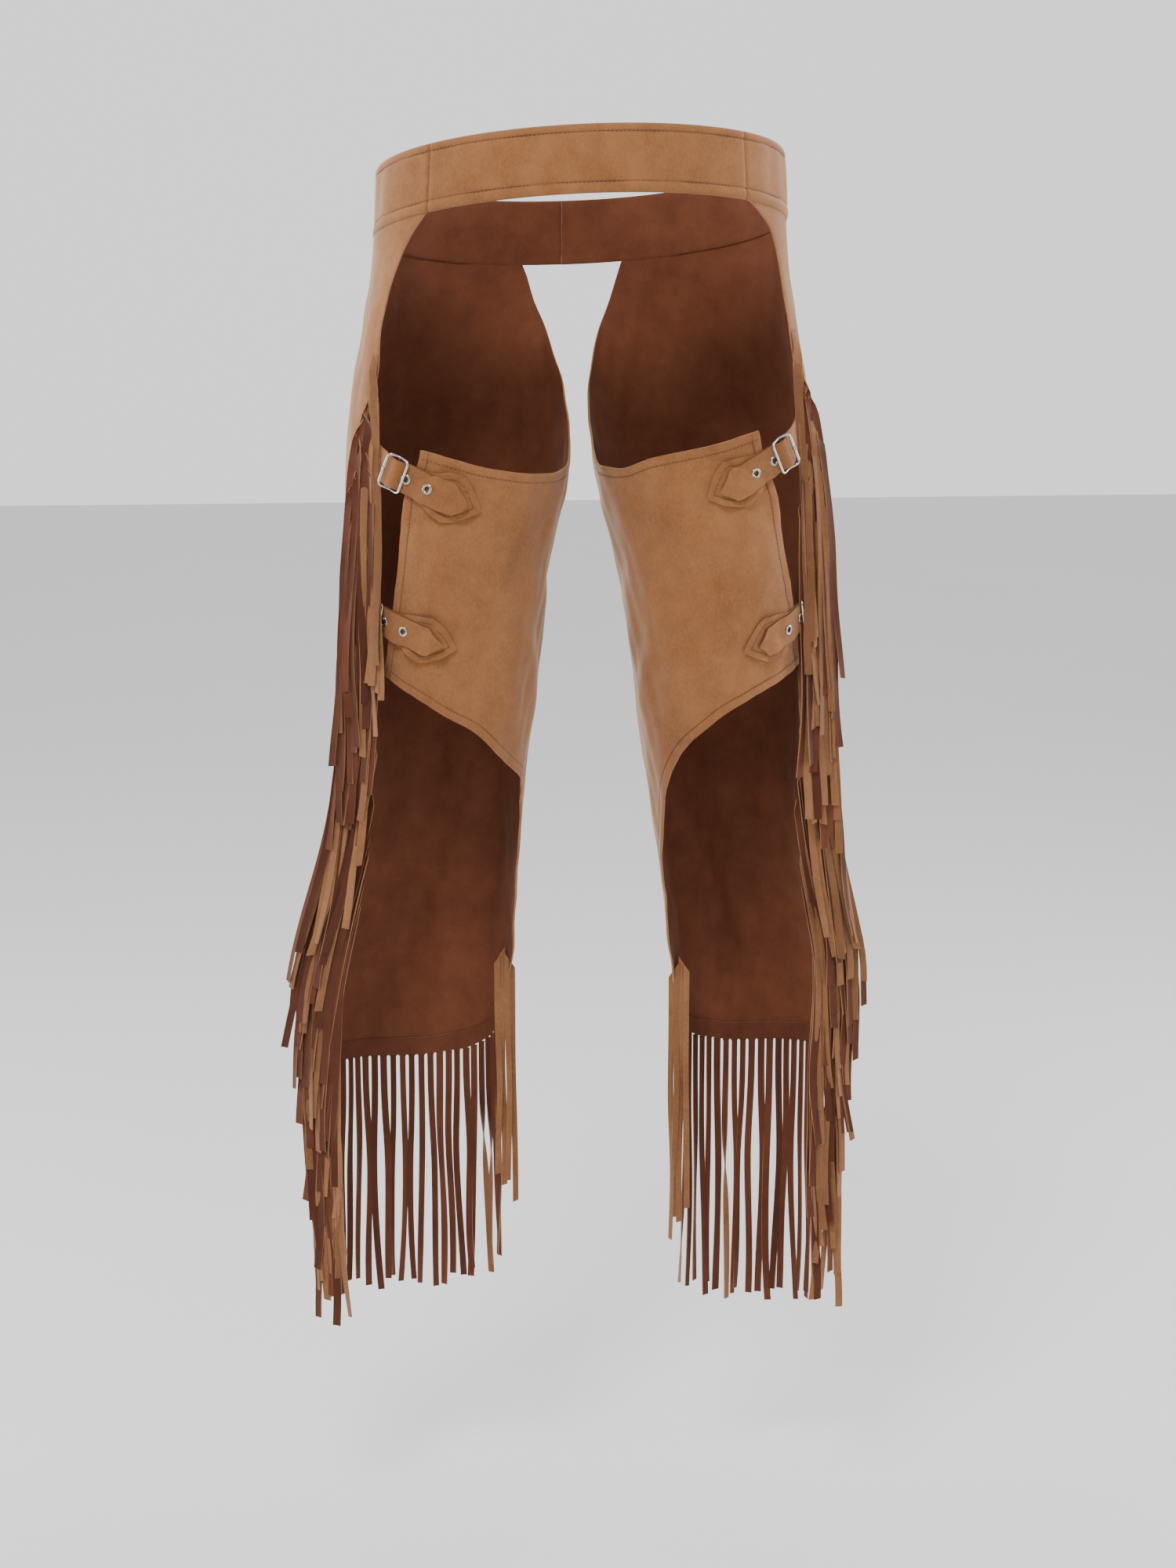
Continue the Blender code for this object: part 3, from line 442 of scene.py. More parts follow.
def band_middle(angle):
    """Height of the waistband's middle line, angle from the back towards +X."""
    turn = np.radians(angle)
    return BAND_RISE * np.cos(turn) - BAND_TILT * np.sin(turn)


def band_point(angle, up, out):
    turn = np.radians(angle)
    wide = BAND_HALF_WIDTH - BAND_FLARE * up + out
    deep = BAND_HALF_DEPTH + out
    return np.stack([wide * np.sin(turn), deep * np.cos(turn), band_middle(angle) + up], axis=-1)


def panel_top_at_band(side, share):
    """Height just under the waistband on this line of the panel."""
    z = -BAND_HEIGHT / 2
    for _ in range(20):
        point = leg_point(side, leg_angle(side, share, z), z)
        angle = math.degrees(math.atan2(point[0] / BAND_HALF_WIDTH, point[1] / BAND_HALF_DEPTH))
        z = float(band_middle(angle)) - BAND_HEIGHT / 2 + SEAM_TUCK
    return z


def panel_edges(side):
    """Upper and lower edge heights of a leg panel as curves of the share round it."""
    low = [(float(share_of(side, angle, z)), z) for angle, z in BOTTOM_EDGE[side]]
    bottom = monotone_curve(low, 1)
    front_share = float(share_of(side, FRONT_END_ANGLE, FRONT_END_HEIGHT))
    high = [(front_share, panel_top_at_band(side, front_share))]
    high += [(float(share_of(side, angle, z)), z) for angle, z in TOP_EDGE[side]]
    past_band = monotone_curve(high, 1)

    def top(share):
        if share <= front_share:
            return panel_top_at_band(side, share)
        return float(past_band(share))

    return top, bottom, front_share


# Materials

def node(tree, kind, **values):
    made = tree.nodes.new("ShaderNode" + kind)
    for name, value in values.items():
        if name in made.inputs:
            made.inputs[name].default_value = value
        else:
            setattr(made, name.lower(), value)
    return made


def mix_colours(tree, factor, first, second):
    """Blend of two colours, each a link or a plain colour."""
    made = tree.nodes.new("ShaderNodeMix")
    made.data_type = "RGBA"
    tree.links.new(factor, made.inputs[0])
    for socket, value in ((made.inputs[6], first), (made.inputs[7], second)):
        if isinstance(value, bpy.types.NodeSocket):
            tree.links.new(value, socket)
        else:
            socket.default_value = (*value, 1.0)
    return made.outputs[2]


def maths(tree, operation, first, second=None, clamp=False):
    made = tree.nodes.new("ShaderNodeMath")
    made.operation = operation
    made.use_clamp = clamp
    for socket, value in zip(made.inputs, (first, second)):
        if isinstance(value, bpy.types.NodeSocket):
            tree.links.new(value, socket)
        elif value is not None:
            socket.default_value = value
    return made.outputs[0]


def noise_of(tree, vector, scale, detail=3.0, roughness=0.55):
    made = node(tree, "TexNoise", Scale=scale, Detail=detail, Roughness=roughness)
    tree.links.new(vector, made.inputs["Vector"])
    return made.outputs["Fac"]


def new_material(name):
    material = bpy.data.materials.new(name)
    material.use_nodes = True
    tree = material.node_tree
    return material, tree, tree.nodes["Principled BSDF"]


def suede(name, dark, light, nap, sheen, sheen_tint, roughness, bump, painted_stitch_shade=0.0, tone=0.0):
    """Napped leather: cloudy colour, fine grain, brushed streaks, a soft sheen and, when asked, painted shade
    along the stitch lines.
    """
    material, tree, shader = new_material(name)
    place = node(tree, "TexCoord").outputs["Object"]
    broad = noise_of(tree, place, 13.0, 4.0, 0.6)
    small = noise_of(tree, place, 55.0, 4.0, 0.65)
    clouds = maths(tree, "ADD", maths(tree, "MULTIPLY", broad, 0.62), maths(tree, "MULTIPLY", small, 0.38))
    grain = noise_of(tree, place, 900.0, 3.0, 0.6)
    brushed = node(tree, "Mapping")
    brushed.inputs["Scale"].default_value = (560.0, 560.0, 330.0)
    brushed.inputs["Rotation"].default_value = (0.35, 0.5, 0.2)
    tree.links.new(place, brushed.inputs["Vector"])
    streaks = noise_of(tree, brushed.outputs["Vector"], 1.0, 4.0, 0.65)
    spread = maths(tree, "MULTIPLY_ADD", clouds, 3.4, clamp=True)
    spread.node.inputs[2].default_value = -1.2
    colour = mix_colours(tree, spread, dark, light)
    flecks = maths(tree, "MULTIPLY", maths(tree, "SUBTRACT", streaks, 0.42, clamp=True), nap)
    colour = mix_colours(tree, flecks, colour, tuple(min(1.0, c * 1.9) for c in light))
    pores = maths(tree, "MULTIPLY", maths(tree, "SUBTRACT", 0.50, grain, clamp=True), nap * 1.6)
    colour = mix_colours(tree, pores, colour, tuple(c * 0.35 for c in dark))
    height = maths(tree, "ADD", maths(tree, "MULTIPLY", grain, 0.6), maths(tree, "MULTIPLY", streaks, 0.7))
    if painted_stitch_shade:
        edge = node(tree, "Attribute", attribute_name="sewn").outputs["Fac"]
        line = maths(tree, "SUBTRACT", 1.0, maths(tree, "DIVIDE", edge, 0.0009), clamp=True)
        # Painted shade: the colour darkens along the stitch line as if its dent were in shadow; the bump below
        # makes the dent itself.
        colour = mix_colours(tree, maths(tree, "MULTIPLY", line, painted_stitch_shade), colour,
                             tuple(c * 0.30 for c in dark))
        height = maths(tree, "SUBTRACT", height, maths(tree, "MULTIPLY", line, 1.6))
    if tone:
        strand = node(tree, "Attribute", attribute_name="tone").outputs["Fac"]
        colour = mix_colours(tree, maths(tree, "MULTIPLY", strand, tone), colour,
                             tuple(c * 0.28 for c in dark))
    tree.links.new(colour, shader.inputs["Base Color"])
    shader.inputs["Roughness"].default_value = roughness
    shader.inputs["Specular IOR Level"].default_value = 0.18
    shader.inputs["Sheen Weight"].default_value = sheen
    shader.inputs["Sheen Roughness"].default_value = 0.45
    shader.inputs["Sheen Tint"].default_value = (*sheen_tint, 1.0)
    relief = node(tree, "Bump", Strength=bump, Distance=0.0006)
    tree.links.new(height, relief.inputs["Height"])
    tree.links.new(relief.outputs["Normal"], shader.inputs["Normal"])
    return material


def nickel(name, colour, roughness):
    """Bright plated wire with faint wear."""
    material, tree, shader = new_material(name)
    place = node(tree, "TexCoord").outputs["Object"]
    wear = noise_of(tree, place, 420.0, 4.0, 0.6)
    shade = mix_colours(tree, wear, tuple(c * 0.86 for c in colour), colour)
    tree.links.new(shade, shader.inputs["Base Color"])
    shader.inputs["Metallic"].default_value = 1.0
    gloss = maths(tree, "MULTIPLY_ADD", wear, 0.16)
    gloss.node.inputs[2].default_value = roughness
    tree.links.new(gloss, shader.inputs["Roughness"])
    relief = node(tree, "Bump", Strength=0.12, Distance=0.0002)
    tree.links.new(wear, relief.inputs["Height"])
    tree.links.new(relief.outputs["Normal"], shader.inputs["Normal"])
    return material


def thread(name, colour):
    material, tree, shader = new_material(name)
    place = node(tree, "TexCoord").outputs["Object"]
    twist = noise_of(tree, place, 2600.0, 2.0, 0.5)
    shade = mix_colours(tree, twist, tuple(c * 0.6 for c in colour), tuple(c * 1.3 for c in colour))
    tree.links.new(shade, shader.inputs["Base Color"])
    shader.inputs["Roughness"].default_value = 0.8
    shader.inputs["Sheen Weight"].default_value = 0.2
    return material


TAN_SHEEN = (1.0, 0.80, 0.62)
MATERIALS = {
    "face": suede("suede_face", (0.205, 0.079, 0.028), (0.315, 0.132, 0.050), 0.50, 0.55, TAN_SHEEN,
                  0.95, 0.36, painted_stitch_shade=0.55),
    "strap": suede("suede_strap", (0.200, 0.076, 0.027), (0.300, 0.124, 0.047), 0.50, 0.45, TAN_SHEEN,
                   0.95, 0.36, painted_stitch_shade=0.65),
    "back": suede("suede_back", (0.106, 0.0300, 0.0130), (0.166, 0.052, 0.0230), 0.22, 0.14,
                  (1.0, 0.72, 0.55), 0.78, 0.16),
    "edge": suede("suede_cut_edge", (0.25, 0.112, 0.050), (0.36, 0.175, 0.085), 0.60, 0.30, TAN_SHEEN,
                  0.95, 0.40),
    "strand_face": suede("strand_face", (0.205, 0.084, 0.034), (0.310, 0.138, 0.060), 0.55, 0.34,
                         TAN_SHEEN, 0.95, 0.34, tone=0.45),
    "strand_back": suede("strand_back", (0.094, 0.0250, 0.0112), (0.146, 0.043, 0.0200), 0.16, 0.11,
                         (1.0, 0.72, 0.55), 0.74, 0.14, tone=0.55),
    "thread": thread("sewing_thread", (0.115, 0.036, 0.012)),
    "nickel": nickel("nickel_wire", (0.56, 0.55, 0.53), 0.10),
}


# Mesh helpers

def new_piece(name, points, faces, slots, face_slots=None, attributes=None, sharp=50.0, close=True):
    """One mesh piece that rides on the part, with its materials and vertex attributes."""
    mesh = bpy.data.meshes.new(name)
    mesh.from_pydata([tuple(p) for p in points], [], [tuple(int(i) for i in f) for f in faces])
    if close:
        body = bmesh.new()
        body.from_mesh(mesh)
        bmesh.ops.recalc_face_normals(body, faces=body.faces)
        body.to_mesh(mesh)
        body.free()
    for slot in slots:
        mesh.materials.append(MATERIALS[slot])
    if face_slots is not None:
        mesh.polygons.foreach_set("material_index", np.asarray(face_slots, np.int32))
    for key, values in (attributes or {}).items():
        layer = mesh.attributes.new(key, "FLOAT", "POINT")
        layer.data.foreach_set("value", np.asarray(values, np.float32))
    mesh.shade_smooth()
    mesh.set_sharp_from_angle(angle=math.radians(sharp))
    piece = bpy.data.objects.new(name, mesh)
    bpy.context.collection.objects.link(piece)
    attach(piece, "root")
    return piece


def wall(columns, rows):
    """Faces of a closed wall and their kinds: 0 outside, 1 inside, 2 rim."""
    index = np.arange((columns + 1) * (rows + 1)).reshape(columns + 1, rows + 1)
    a, b = index[:-1, :-1].ravel(), index[1:, :-1].ravel()
    c, d = index[1:, 1:].ravel(), index[:-1, 1:].ravel()
    shift = index.size
    outside = np.stack([a, b, c, d], axis=1)
    inside = np.stack([d, c, b, a], axis=1) + shift
    rim = list(index[:-1, 0]) + list(index[-1, :-1]) + list(index[:0:-1, -1]) + list(index[0, :0:-1])
    rim_faces = [(there, here, here + shift, there + shift)
                 for here, there in zip(rim, rim[1:] + rim[:1])]
    faces = outside.tolist() + inside.tolist() + rim_faces
    kinds = [0] * len(outside) + [1] * len(inside) + [2] * len(rim_faces)
    return faces, kinds, rim


def sewn_line(distance, stitched_in):
    """Distance from the stitching line, from the distance to the edge."""
    return np.abs(distance - stitched_in)


def stitches(name, rows):
    """Thread stitches along rows of (points, outward directions), as one mesh."""
    points, faces = [], []
    profile = [(-0.50, 0.25), (-0.34, 0.85), (0.0, 1.0), (0.34, 0.85), (0.50, 0.25)]
    ring = 6
    for path, outward in rows:
        path, outward = np.asarray(path), np.asarray(outward)
        lengths = np.concatenate([[0.0], np.cumsum(np.linalg.norm(np.diff(path, axis=0), axis=1))])
        count = int(lengths[-1] / STITCH_PITCH)
        for k in range(count):
            reach = (k + 0.5) * lengths[-1] / count
            middle = np.array([np.interp(reach, lengths, path[:, axis]) for axis in range(3)])
            ahead = np.array([np.interp(reach + 0.001, lengths, path[:, axis]) for axis in range(3)])
            out = np.array([np.interp(reach, lengths, outward[:, axis]) for axis in range(3)])
            tangent = ahead - middle
            if np.linalg.norm(tangent) < 1e-6:
                continue
            tangent = units(tangent)
            out = units(out - tangent * np.dot(out, tangent))
            side = np.cross(out, tangent)
            start = len(points)
            for along, wide in profile:
                sink = -0.00022 * (abs(along) / 0.5) ** 2
                for step in range(ring):
                    turn = 2 * math.pi * step / ring
                    points.append(middle + tangent * along * STITCH_LENGTH
                                  + side * math.cos(turn) * wide * STITCH_RADIUS
                                  + out * (math.sin(turn) * wide * STITCH_RADIUS + sink))
            for i in range(len(profile) - 1):
                for step in range(ring):
                    a, b = start + i * ring + step, start + i * ring + (step + 1) % ring
                    faces.append((a, b, b + ring, a + ring))
            faces.append(tuple(range(start + ring - 1, start - 1, -1)))
            last = start + (len(profile) - 1) * ring
            faces.append(tuple(range(last, last + ring)))
    return new_piece(name, points, faces, ["thread"])


def offset_path(tree, edge, inward, distance):
    """Path on a surface at a set distance in from its edge, with its outward directions."""
    places, outs = [], []
    for point, direction in zip(edge, inward):
        hit, normal, _, _ = tree.find_nearest(Vector(point + direction * distance))
        places.append(np.array(hit))
        outs.append(np.array(normal))
    return places, outs


# Leg panels

CORNER_LIFT = 0.0045
CORNER_REACH = 0.011
FINE_STEPS = 7
FINE_STEP = 0.0015


def spread_rows(length, rows):
    """Distances down one line of the panel, close together next to both edges."""
    fine = min(FINE_STEP, length / (rows + 8))
    top = [fine * k for k in range(FINE_STEPS)]
    start, end = fine * FINE_STEPS, length - fine * FINE_STEPS
    middle = list(np.linspace(start, end, rows + 1 - 2 * FINE_STEPS))
    return np.array(top + middle + [length - fine * k for k in range(FINE_STEPS - 1, -1, -1)])


def make_leg(side):
    """Leg panel: outer and inner suede, rim, folds, creases and the sewn edges."""
    top, bottom, front_share = panel_edges(side)
    shares = np.concatenate([np.arange(6) * 0.003, np.linspace(0.018, 0.982, 134),
                             1.0 - np.arange(5, -1, -1) * 0.003])
    rows = 112
    angles, heights = [], []
    for share in shares:
        high, low = top(share), float(bottom(share))
        z = high - spread_rows(high - low, rows)
        heights.append(z)
        angles.append(leg_angle(side, share, z))
    angles, heights = np.array(angles), np.array(heights)
    columns = len(shares) - 1
    outer = on_leg(side, angles, heights, np.full(angles.shape, WALL / 2))
    inner = on_leg(side, angles, heights, np.full(angles.shape, -WALL / 2))
    normals = leg_normal(side, angles, heights)
    faces, kinds, rim = wall(columns, rows)
    flat = outer.reshape(-1, 3)
    stride = rows + 1
    sewn_rim = [i for i in rim if not (i // stride == 0 or
                                       (i % stride == 0 and shares[i // stride] <= front_share))]
    near = KDTree(len(rim))
    for i in rim:
        near.insert(Vector(flat[i]), i)
    near.balance()
    sewn_set = set(sewn_rim)
    edge_gap, is_sewn = np.ones(len(flat)), np.zeros(len(flat), bool)
    for i, point in enumerate(flat):
        _, found, gap = near.find(Vector(point))
        edge_gap[i] = gap
        is_sewn[i] = found in sewn_set
    ridge = 0.00035 * (1 - smoothstep(0.0050, 0.0072, edge_gap)) * is_sewn
    curl = -0.00040 * np.exp(-edge_gap / 0.0012)
    outer = outer + normals * (ridge + curl).reshape(angles.shape)[..., None]
    sewn = np.where(is_sewn, sewn_line(edge_gap, HEM_STITCH_IN), 1.0)
    corner_gap = np.linalg.norm(outer - outer[-1, 0], axis=-1)
    tab = (CORNER_LIFT * np.exp(-(corner_gap / CORNER_REACH) ** 2))[..., None] * normals
    outer, inner = outer + tab, inner + tab
    points = np.concatenate([outer.reshape(-1, 3), inner.reshape(-1, 3)])
    piece = new_piece("leg_cloth_" + side, points, faces, ["face", "back", "edge"], kinds,
                      {"sewn": np.concatenate([sewn, np.ones(len(sewn))])})
    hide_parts("leg_" + side)
    surface = BVHTree.FromPolygons([Vector(p) for p in outer.reshape(-1, 3)],
                                   [f for f, kind in zip(faces, kinds) if kind == 0])
    return piece, surface, outer, normals, shares, front_share


def leg_edges(outer, normals, shares, front_share):
    """Sewn edges of a panel with the directions into the cloth."""
    first = int(np.searchsorted(shares, front_share)) + 1
    runs = [outer[first:, 0], outer[-1, :], outer[::-1, -1]]
    outs = [normals[first:, 0], normals[-1, :], normals[::-1, -1]]
    rows = []
    for edge, out in zip(runs, outs):
        tangent = units(np.gradient(edge, axis=0))
        inward = units(np.cross(tangent, out))
        rows.append((edge, inward, out))
    middle = outer[outer.shape[0] // 2, outer.shape[1] // 2]
    fixed = []
    for edge, inward, out in rows:
        probe = edge[len(edge) // 2]
        sign = 1.0 if np.dot(middle - probe, inward[len(edge) // 2]) > 0 else -1.0
        fixed.append((edge, inward * sign, out))
    return fixed


# Waistband

def make_band(name, start, end, columns, lap_out):
    """One waistband panel: puffed between its two stitched lines, rolled at its edges."""
    seam = math.degrees(GAP / 2 / BAND_HALF_WIDTH)
    rows = 46
    heights = BAND_HEIGHT * (0.5 - np.linspace(0.0, 1.0, rows + 1))
    angles = np.linspace(start + seam, end - seam, columns + 1)
    lift = lap_out * smoothstep(BAND_LAP_START, BAND_LAP_END, angles)
    grid_angle, grid_up = np.meshgrid(angles, heights, indexing="ij")
    gap = BAND_HEIGHT / 2 - np.abs(grid_up)
    line = sewn_line(gap, np.where(grid_up < 0, BAND_STITCH_LOW, BAND_STITCH_IN))
    end_gap = np.minimum(grid_angle - angles[0], angles[-1] - grid_angle) * math.radians(1) * 0.13
    rolled = -0.0009 * np.exp(-gap / 0.0010) - 0.0007 * np.exp(-end_gap / 0.0008)
    low = grid_up < 0
    roll = np.where(low, 0.00080, 0.00035) * np.exp(
        -((gap - np.where(low, 0.0042, 0.0030)) / np.where(low, 0.0030, 0.0020)) ** 2)
    puff = roll - 0.00060 * np.exp(-(line / 0.0010) ** 2)
    ripple = 0.00045 * np.sin(grid_angle * 0.21 + grid_up * 60) + 0.00025 * np.sin(grid_angle * 0.53 + 1)
    ripple = ripple * smoothstep(0.0, 0.012, gap)
    out = BAND_WALL / 2 + rolled + puff + ripple + lift[:, None]
    outer = band_point(grid_angle, grid_up, out)
    inner = band_point(grid_angle, grid_up, -BAND_WALL / 2 - rolled * 0.6 + lift[:, None])
    faces, kinds, _ = wall(columns, rows)
    points = np.concatenate([outer.reshape(-1, 3), inner.reshape(-1, 3)])
    sewn = np.concatenate([line.ravel(), line.ravel()])
    kinds = [1 if kind == 1 else 0 for kind in kinds]
    piece = new_piece(name, points, faces, ["face", "back"], kinds, {"sewn": sewn}, sharp=70.0)
    rows_sewn = []
    for up in (BAND_HEIGHT / 2 - BAND_STITCH_IN, BAND_STITCH_LOW - BAND_HEIGHT / 2):
        inset = 0.8
        along = np.linspace(angles[0] + inset, angles[-1] - inset, columns * 3)
        raised = lap_out * smoothstep(BAND_LAP_START, BAND_LAP_END, along)
        surface = BAND_WALL / 2 - 0.00035 + raised
        path = band_point(along, np.full(along.shape, up), surface)
        outward = np.stack([np.sin(np.radians(along)), np.cos(np.radians(along)),
                            np.zeros(along.shape)], axis=1)
        rows_sewn.append((path, outward))
    return piece, rows_sewn


# Straps

def strap_place(side, level, along, across):
    """Angle and height of a place on a strap, measured from the buckle's middle."""
    angle, z, slope = BUCKLES[(side, level)]
    tilt = math.radians(slope)
    per_degree = np.linalg.norm(leg_point(side, angle + 1.0, z) - leg_point(side, angle, z))
    around = -along * math.cos(tilt) - across * math.sin(tilt)
    up = -along * math.sin(tilt) + across * math.cos(tilt)
    return angle + around / per_degree, z + up


def on_curve(side, level, along, across, out):
    angle, z = strap_place(side, level, along, across)
    return on_leg(side, angle, z, out)


def frame_of(place_at, side, level, along):
    """Place, direction to the tip, direction up across and direction out."""
    step = 0.002
    place = place_at(side, level, along, 0.0, 0.0)
    tip = units(place_at(side, level, along + step, 0.0, 0.0)
                - place_at(side, level, along - step, 0.0, 0.0))
    up = place_at(side, level, along, step, 0.0) - place_at(side, level, along, -step, 0.0)
    up = units(up - tip * np.dot(up, tip))
    return place, tip, up, np.cross(tip, up) * SIDES[side]


def on_strap(side, level, along, across, out):
    """Place on a strap, which runs straight inside its buckle."""
    along, across, out = np.broadcast_arrays(*(np.asarray(v, float) for v in (along, across, out)))
    curved = on_curve(side, level, along, across, out)
    share = smoothstep(STRAIGHT_REACH, CURVED_FROM, np.abs(along))[..., None]
    place, tip, up, outward = frame_of(on_curve, side, level, 0.0)
    straight = (place + tip * along[..., None] + up * across[..., None]
                + outward * out[..., None])
    return straight + (curved - straight) * share


def edge_distance(side, level, across):
    """How far from the buckle's middle this line of the tongue meets the panel's edge."""
    along = 0.0
    while True:
        angle, z = strap_place(side, level, along, across)
        if angle - 360.0 >= EDGE_CURVES[side][0](z):
            return along
        along -= 0.0002


def smooth_rows(rows, steps):
    """Rows of a strap, evenly spaced along it, with its bends rounded."""
    table = np.array([row[:5] for row in rows])
    path = table[:, :2]
    lengths = np.concatenate([[0.0], np.cumsum(np.linalg.norm(np.diff(path, axis=0), axis=1))])
    even = np.linspace(0.0, lengths[-1], steps + 1)
    made = np.stack([np.interp(even, lengths, table[:, c]) for c in range(5)], axis=1)
    for _ in range(3):
        made[1:-1, :2] = (made[:-2, :2] + 2 * made[1:-1, :2] + made[2:, :2]) / 4
    return made


def make_ribbon(name, side, level, rows, steps, slots, lift_edges=False, thick=STRAP_THICK):
    """Strap or patch with rolled edges, from rows of (along, out, lower, upper, lean)."""
    made = smooth_rows(rows, steps)
    centre = made[:, :2]
    ahead = units(np.gradient(centre, axis=0))
    sides = np.stack([-ahead[:, 1], ahead[:, 0]], axis=1)
    across_steps = 22
    share = np.linspace(0.0, 1.0, across_steps + 1)
    share = 0.5 - 0.5 * np.cos(math.pi * share) * (0.75 + 0.25 * np.abs(np.cos(math.pi * share)))
    across = made[:, 2:3] + (made[:, 3:4] - made[:, 2:3]) * share[None, :]
    outline = np.concatenate([made[:, [0, 2]], made[::-1][:, [0, 3]]])
    spots = np.stack([np.broadcast_to(made[:, 0:1], across.shape), across], axis=-1).reshape(-1, 2)
    segment_start, segment_end = outline, np.roll(outline, -1, axis=0)
    run = segment_end - segment_start
    span = np.maximum((run ** 2).sum(axis=1), 1e-12)
    to_start = spots[:, None, :] - segment_start[None]
    t = np.clip((to_start * run[None]).sum(axis=2) / span[None], 0.0, 1.0)
    gap = np.linalg.norm(to_start - run[None] * t[..., None], axis=2)
    first_turn = np.argmax(np.diff(made[:, 0]) > 0) if lift_edges else 0
    gap = gap.min(axis=1).reshape(across.shape)
    edge_gap = np.where(np.arange(len(made))[:, None] < first_turn, 0.01, gap)
    along_grid = made[:, 0:1] + made[:, 4:5] * across
    rolled = 0.30 * np.exp(-gap / 0.0007)
    lift = np.zeros(across.shape)
    line = np.ones(across.shape)
    if not lift_edges:
        grid = np.broadcast_to(made[:, 0:1], across.shape)
        lift = 0.0016 * smoothstep(0.036, 0.060, grid) + 0.0006 * np.exp(-gap / 0.0016) * (
            smoothstep(0.012, 0.020, grid) * (0.5 + 0.5 * np.sin(spots[:, 0] * 260 + 1).reshape(across.shape)))
    if lift_edges:
        past = smoothstep(0.028, 0.040, np.broadcast_to(made[:, 0:1], across.shape))
        wave = 0.55 + 0.45 * np.sin(spots[:, 0] * 210 + spots[:, 1] * 160 + len(name)).reshape(across.shape)
        lift = 0.0024 * np.exp(-edge_gap / 0.0026) * past * wave
        line = sewn_line(edge_gap, PATCH_STITCH_IN)
        line = np.where(np.broadcast_to(made[:, 0:1], across.shape) > 0.026, line, 1.0)
        lift = lift + past * (0.00030 * np.exp(-((edge_gap - 0.0085) / 0.0025) ** 2)
                              - 0.00018 * np.exp(-(line / 0.0011) ** 2))
    points = []
    for sign in (1, -1):
        half = sign * thick / 2 * (1 - rolled)
        along = along_grid + sides[:, 0:1] * half
        out = made[:, 1:2] + sides[:, 1:2] * half + lift
        points.append(on_strap(side, level, along, across, out).reshape(-1, 3))
    faces, kinds, _ = wall(len(made) - 1, across_steps)
    kinds = [0 if kind == 0 else 1 for kind in kinds]
    sewn = np.concatenate([line.ravel(), np.ones(line.size)])
    piece = new_piece(name, np.concatenate(points), faces, slots, kinds, {"sewn": sewn}, sharp=75.0)
    return piece, (made, line, lift)


def patch_stitch_row(side, level, made):
    """Stitching inside the patch's outline, from one shoulder round the point to the other."""
    keep = made[:, 0] > 0.028
    rows = made[keep]
    centre = (rows[:, 2] + rows[:, 3]) / 2
    lower = np.stack([rows[:, 0], rows[:, 2]], axis=1)
    upper = np.stack([rows[:, 0], rows[:, 3]], axis=1)[::-1]
    outline = np.concatenate([lower, upper])
    heart = np.array([0.048, centre.mean()])
    tangent = units(np.gradient(outline, axis=0))
    inward = np.stack([-tangent[:, 1], tangent[:, 0]], axis=1)
    flip = np.sign(((heart - outline) * inward).sum(axis=1))[:, None]
    inside = outline + inward * flip * PATCH_STITCH_IN
    reach = np.linalg.norm(inside[:, None] - outline[None], axis=2).min(axis=1)
    inside = inside[reach > PATCH_STITCH_IN * 0.93]
    out = PATCH_OUT_TOP
    path = on_strap(side, level, inside[:, 0], inside[:, 1], np.full(len(inside), out))
    angle, z = strap_place(side, level, inside[:, 0], inside[:, 1])
    return path, leg_normal(side, angle, z)


PATCH_OUT_TOP = 0.00175 + STRAP_THICK / 2 - 0.0002


def cut_holes(piece, side, level):
    """Punched holes of a tongue, cut through with a hidden round cutter."""
    for along in EYELET_STATIONS:
        place, tip, up, outward = frame_of(on_strap, side, level, along)
        sides = 24
        points, faces = [], []
        for height in (TONGUE_LYING - 0.0025, TONGUE_LYING + 0.0025):
            for k in range(sides):
                turn = 2 * math.pi * k / sides
                points.append(place + (tip * math.cos(turn) + up * math.sin(turn)) * 0.0029
                              + outward * height)
        faces = [tuple(range(sides)), tuple(range(sides, 2 * sides))]
        faces += [(k, (k + 1) % sides, sides + (k + 1) % sides, sides + k) for k in range(sides)]
        mesh = bpy.data.meshes.new("punch")
        mesh.from_pydata([tuple(p) for p in points], [], faces)
        body = bmesh.new()
        body.from_mesh(mesh)
        bmesh.ops.recalc_face_normals(body, faces=body.faces)
        body.to_mesh(mesh)
        body.free()
        cutter = bpy.data.objects.new("punch", mesh)
        bpy.context.collection.objects.link(cutter)
        modifier = piece.modifiers.new("punch", "BOOLEAN")
        modifier.operation = "DIFFERENCE"
        modifier.solver = "EXACT"
        modifier.object = cutter
        bpy.context.view_layer.update()
        evaluated = piece.evaluated_get(bpy.context.evaluated_depsgraph_get())
        result = bpy.data.meshes.new_from_object(evaluated)
        piece.modifiers.remove(modifier)
        piece.data = result
        bpy.data.objects.remove(cutter)
    piece.data.set_sharp_from_angle(angle=math.radians(60))


def lathe(frame_at, profile, sides):
    """Closed ring turned about the out direction from (radius, out) pairs."""
    place, tip, up, outward = frame_at
    points, faces = [], []
    count = len(profile)
    for k in range(sides):
        turn = 2 * math.pi * k / sides
        for radius, out in profile:
            points.append(place + (tip * math.cos(turn) + up * math.sin(turn)) * radius
                          + outward * out)
    for k in range(sides):
        for i in range(count):
            a, b = k * count + i, k * count + (i + 1) % count
            c = ((k + 1) % sides) * count
            faces.append((a, b, c + (i + 1) % count, c + i))
    return points, faces


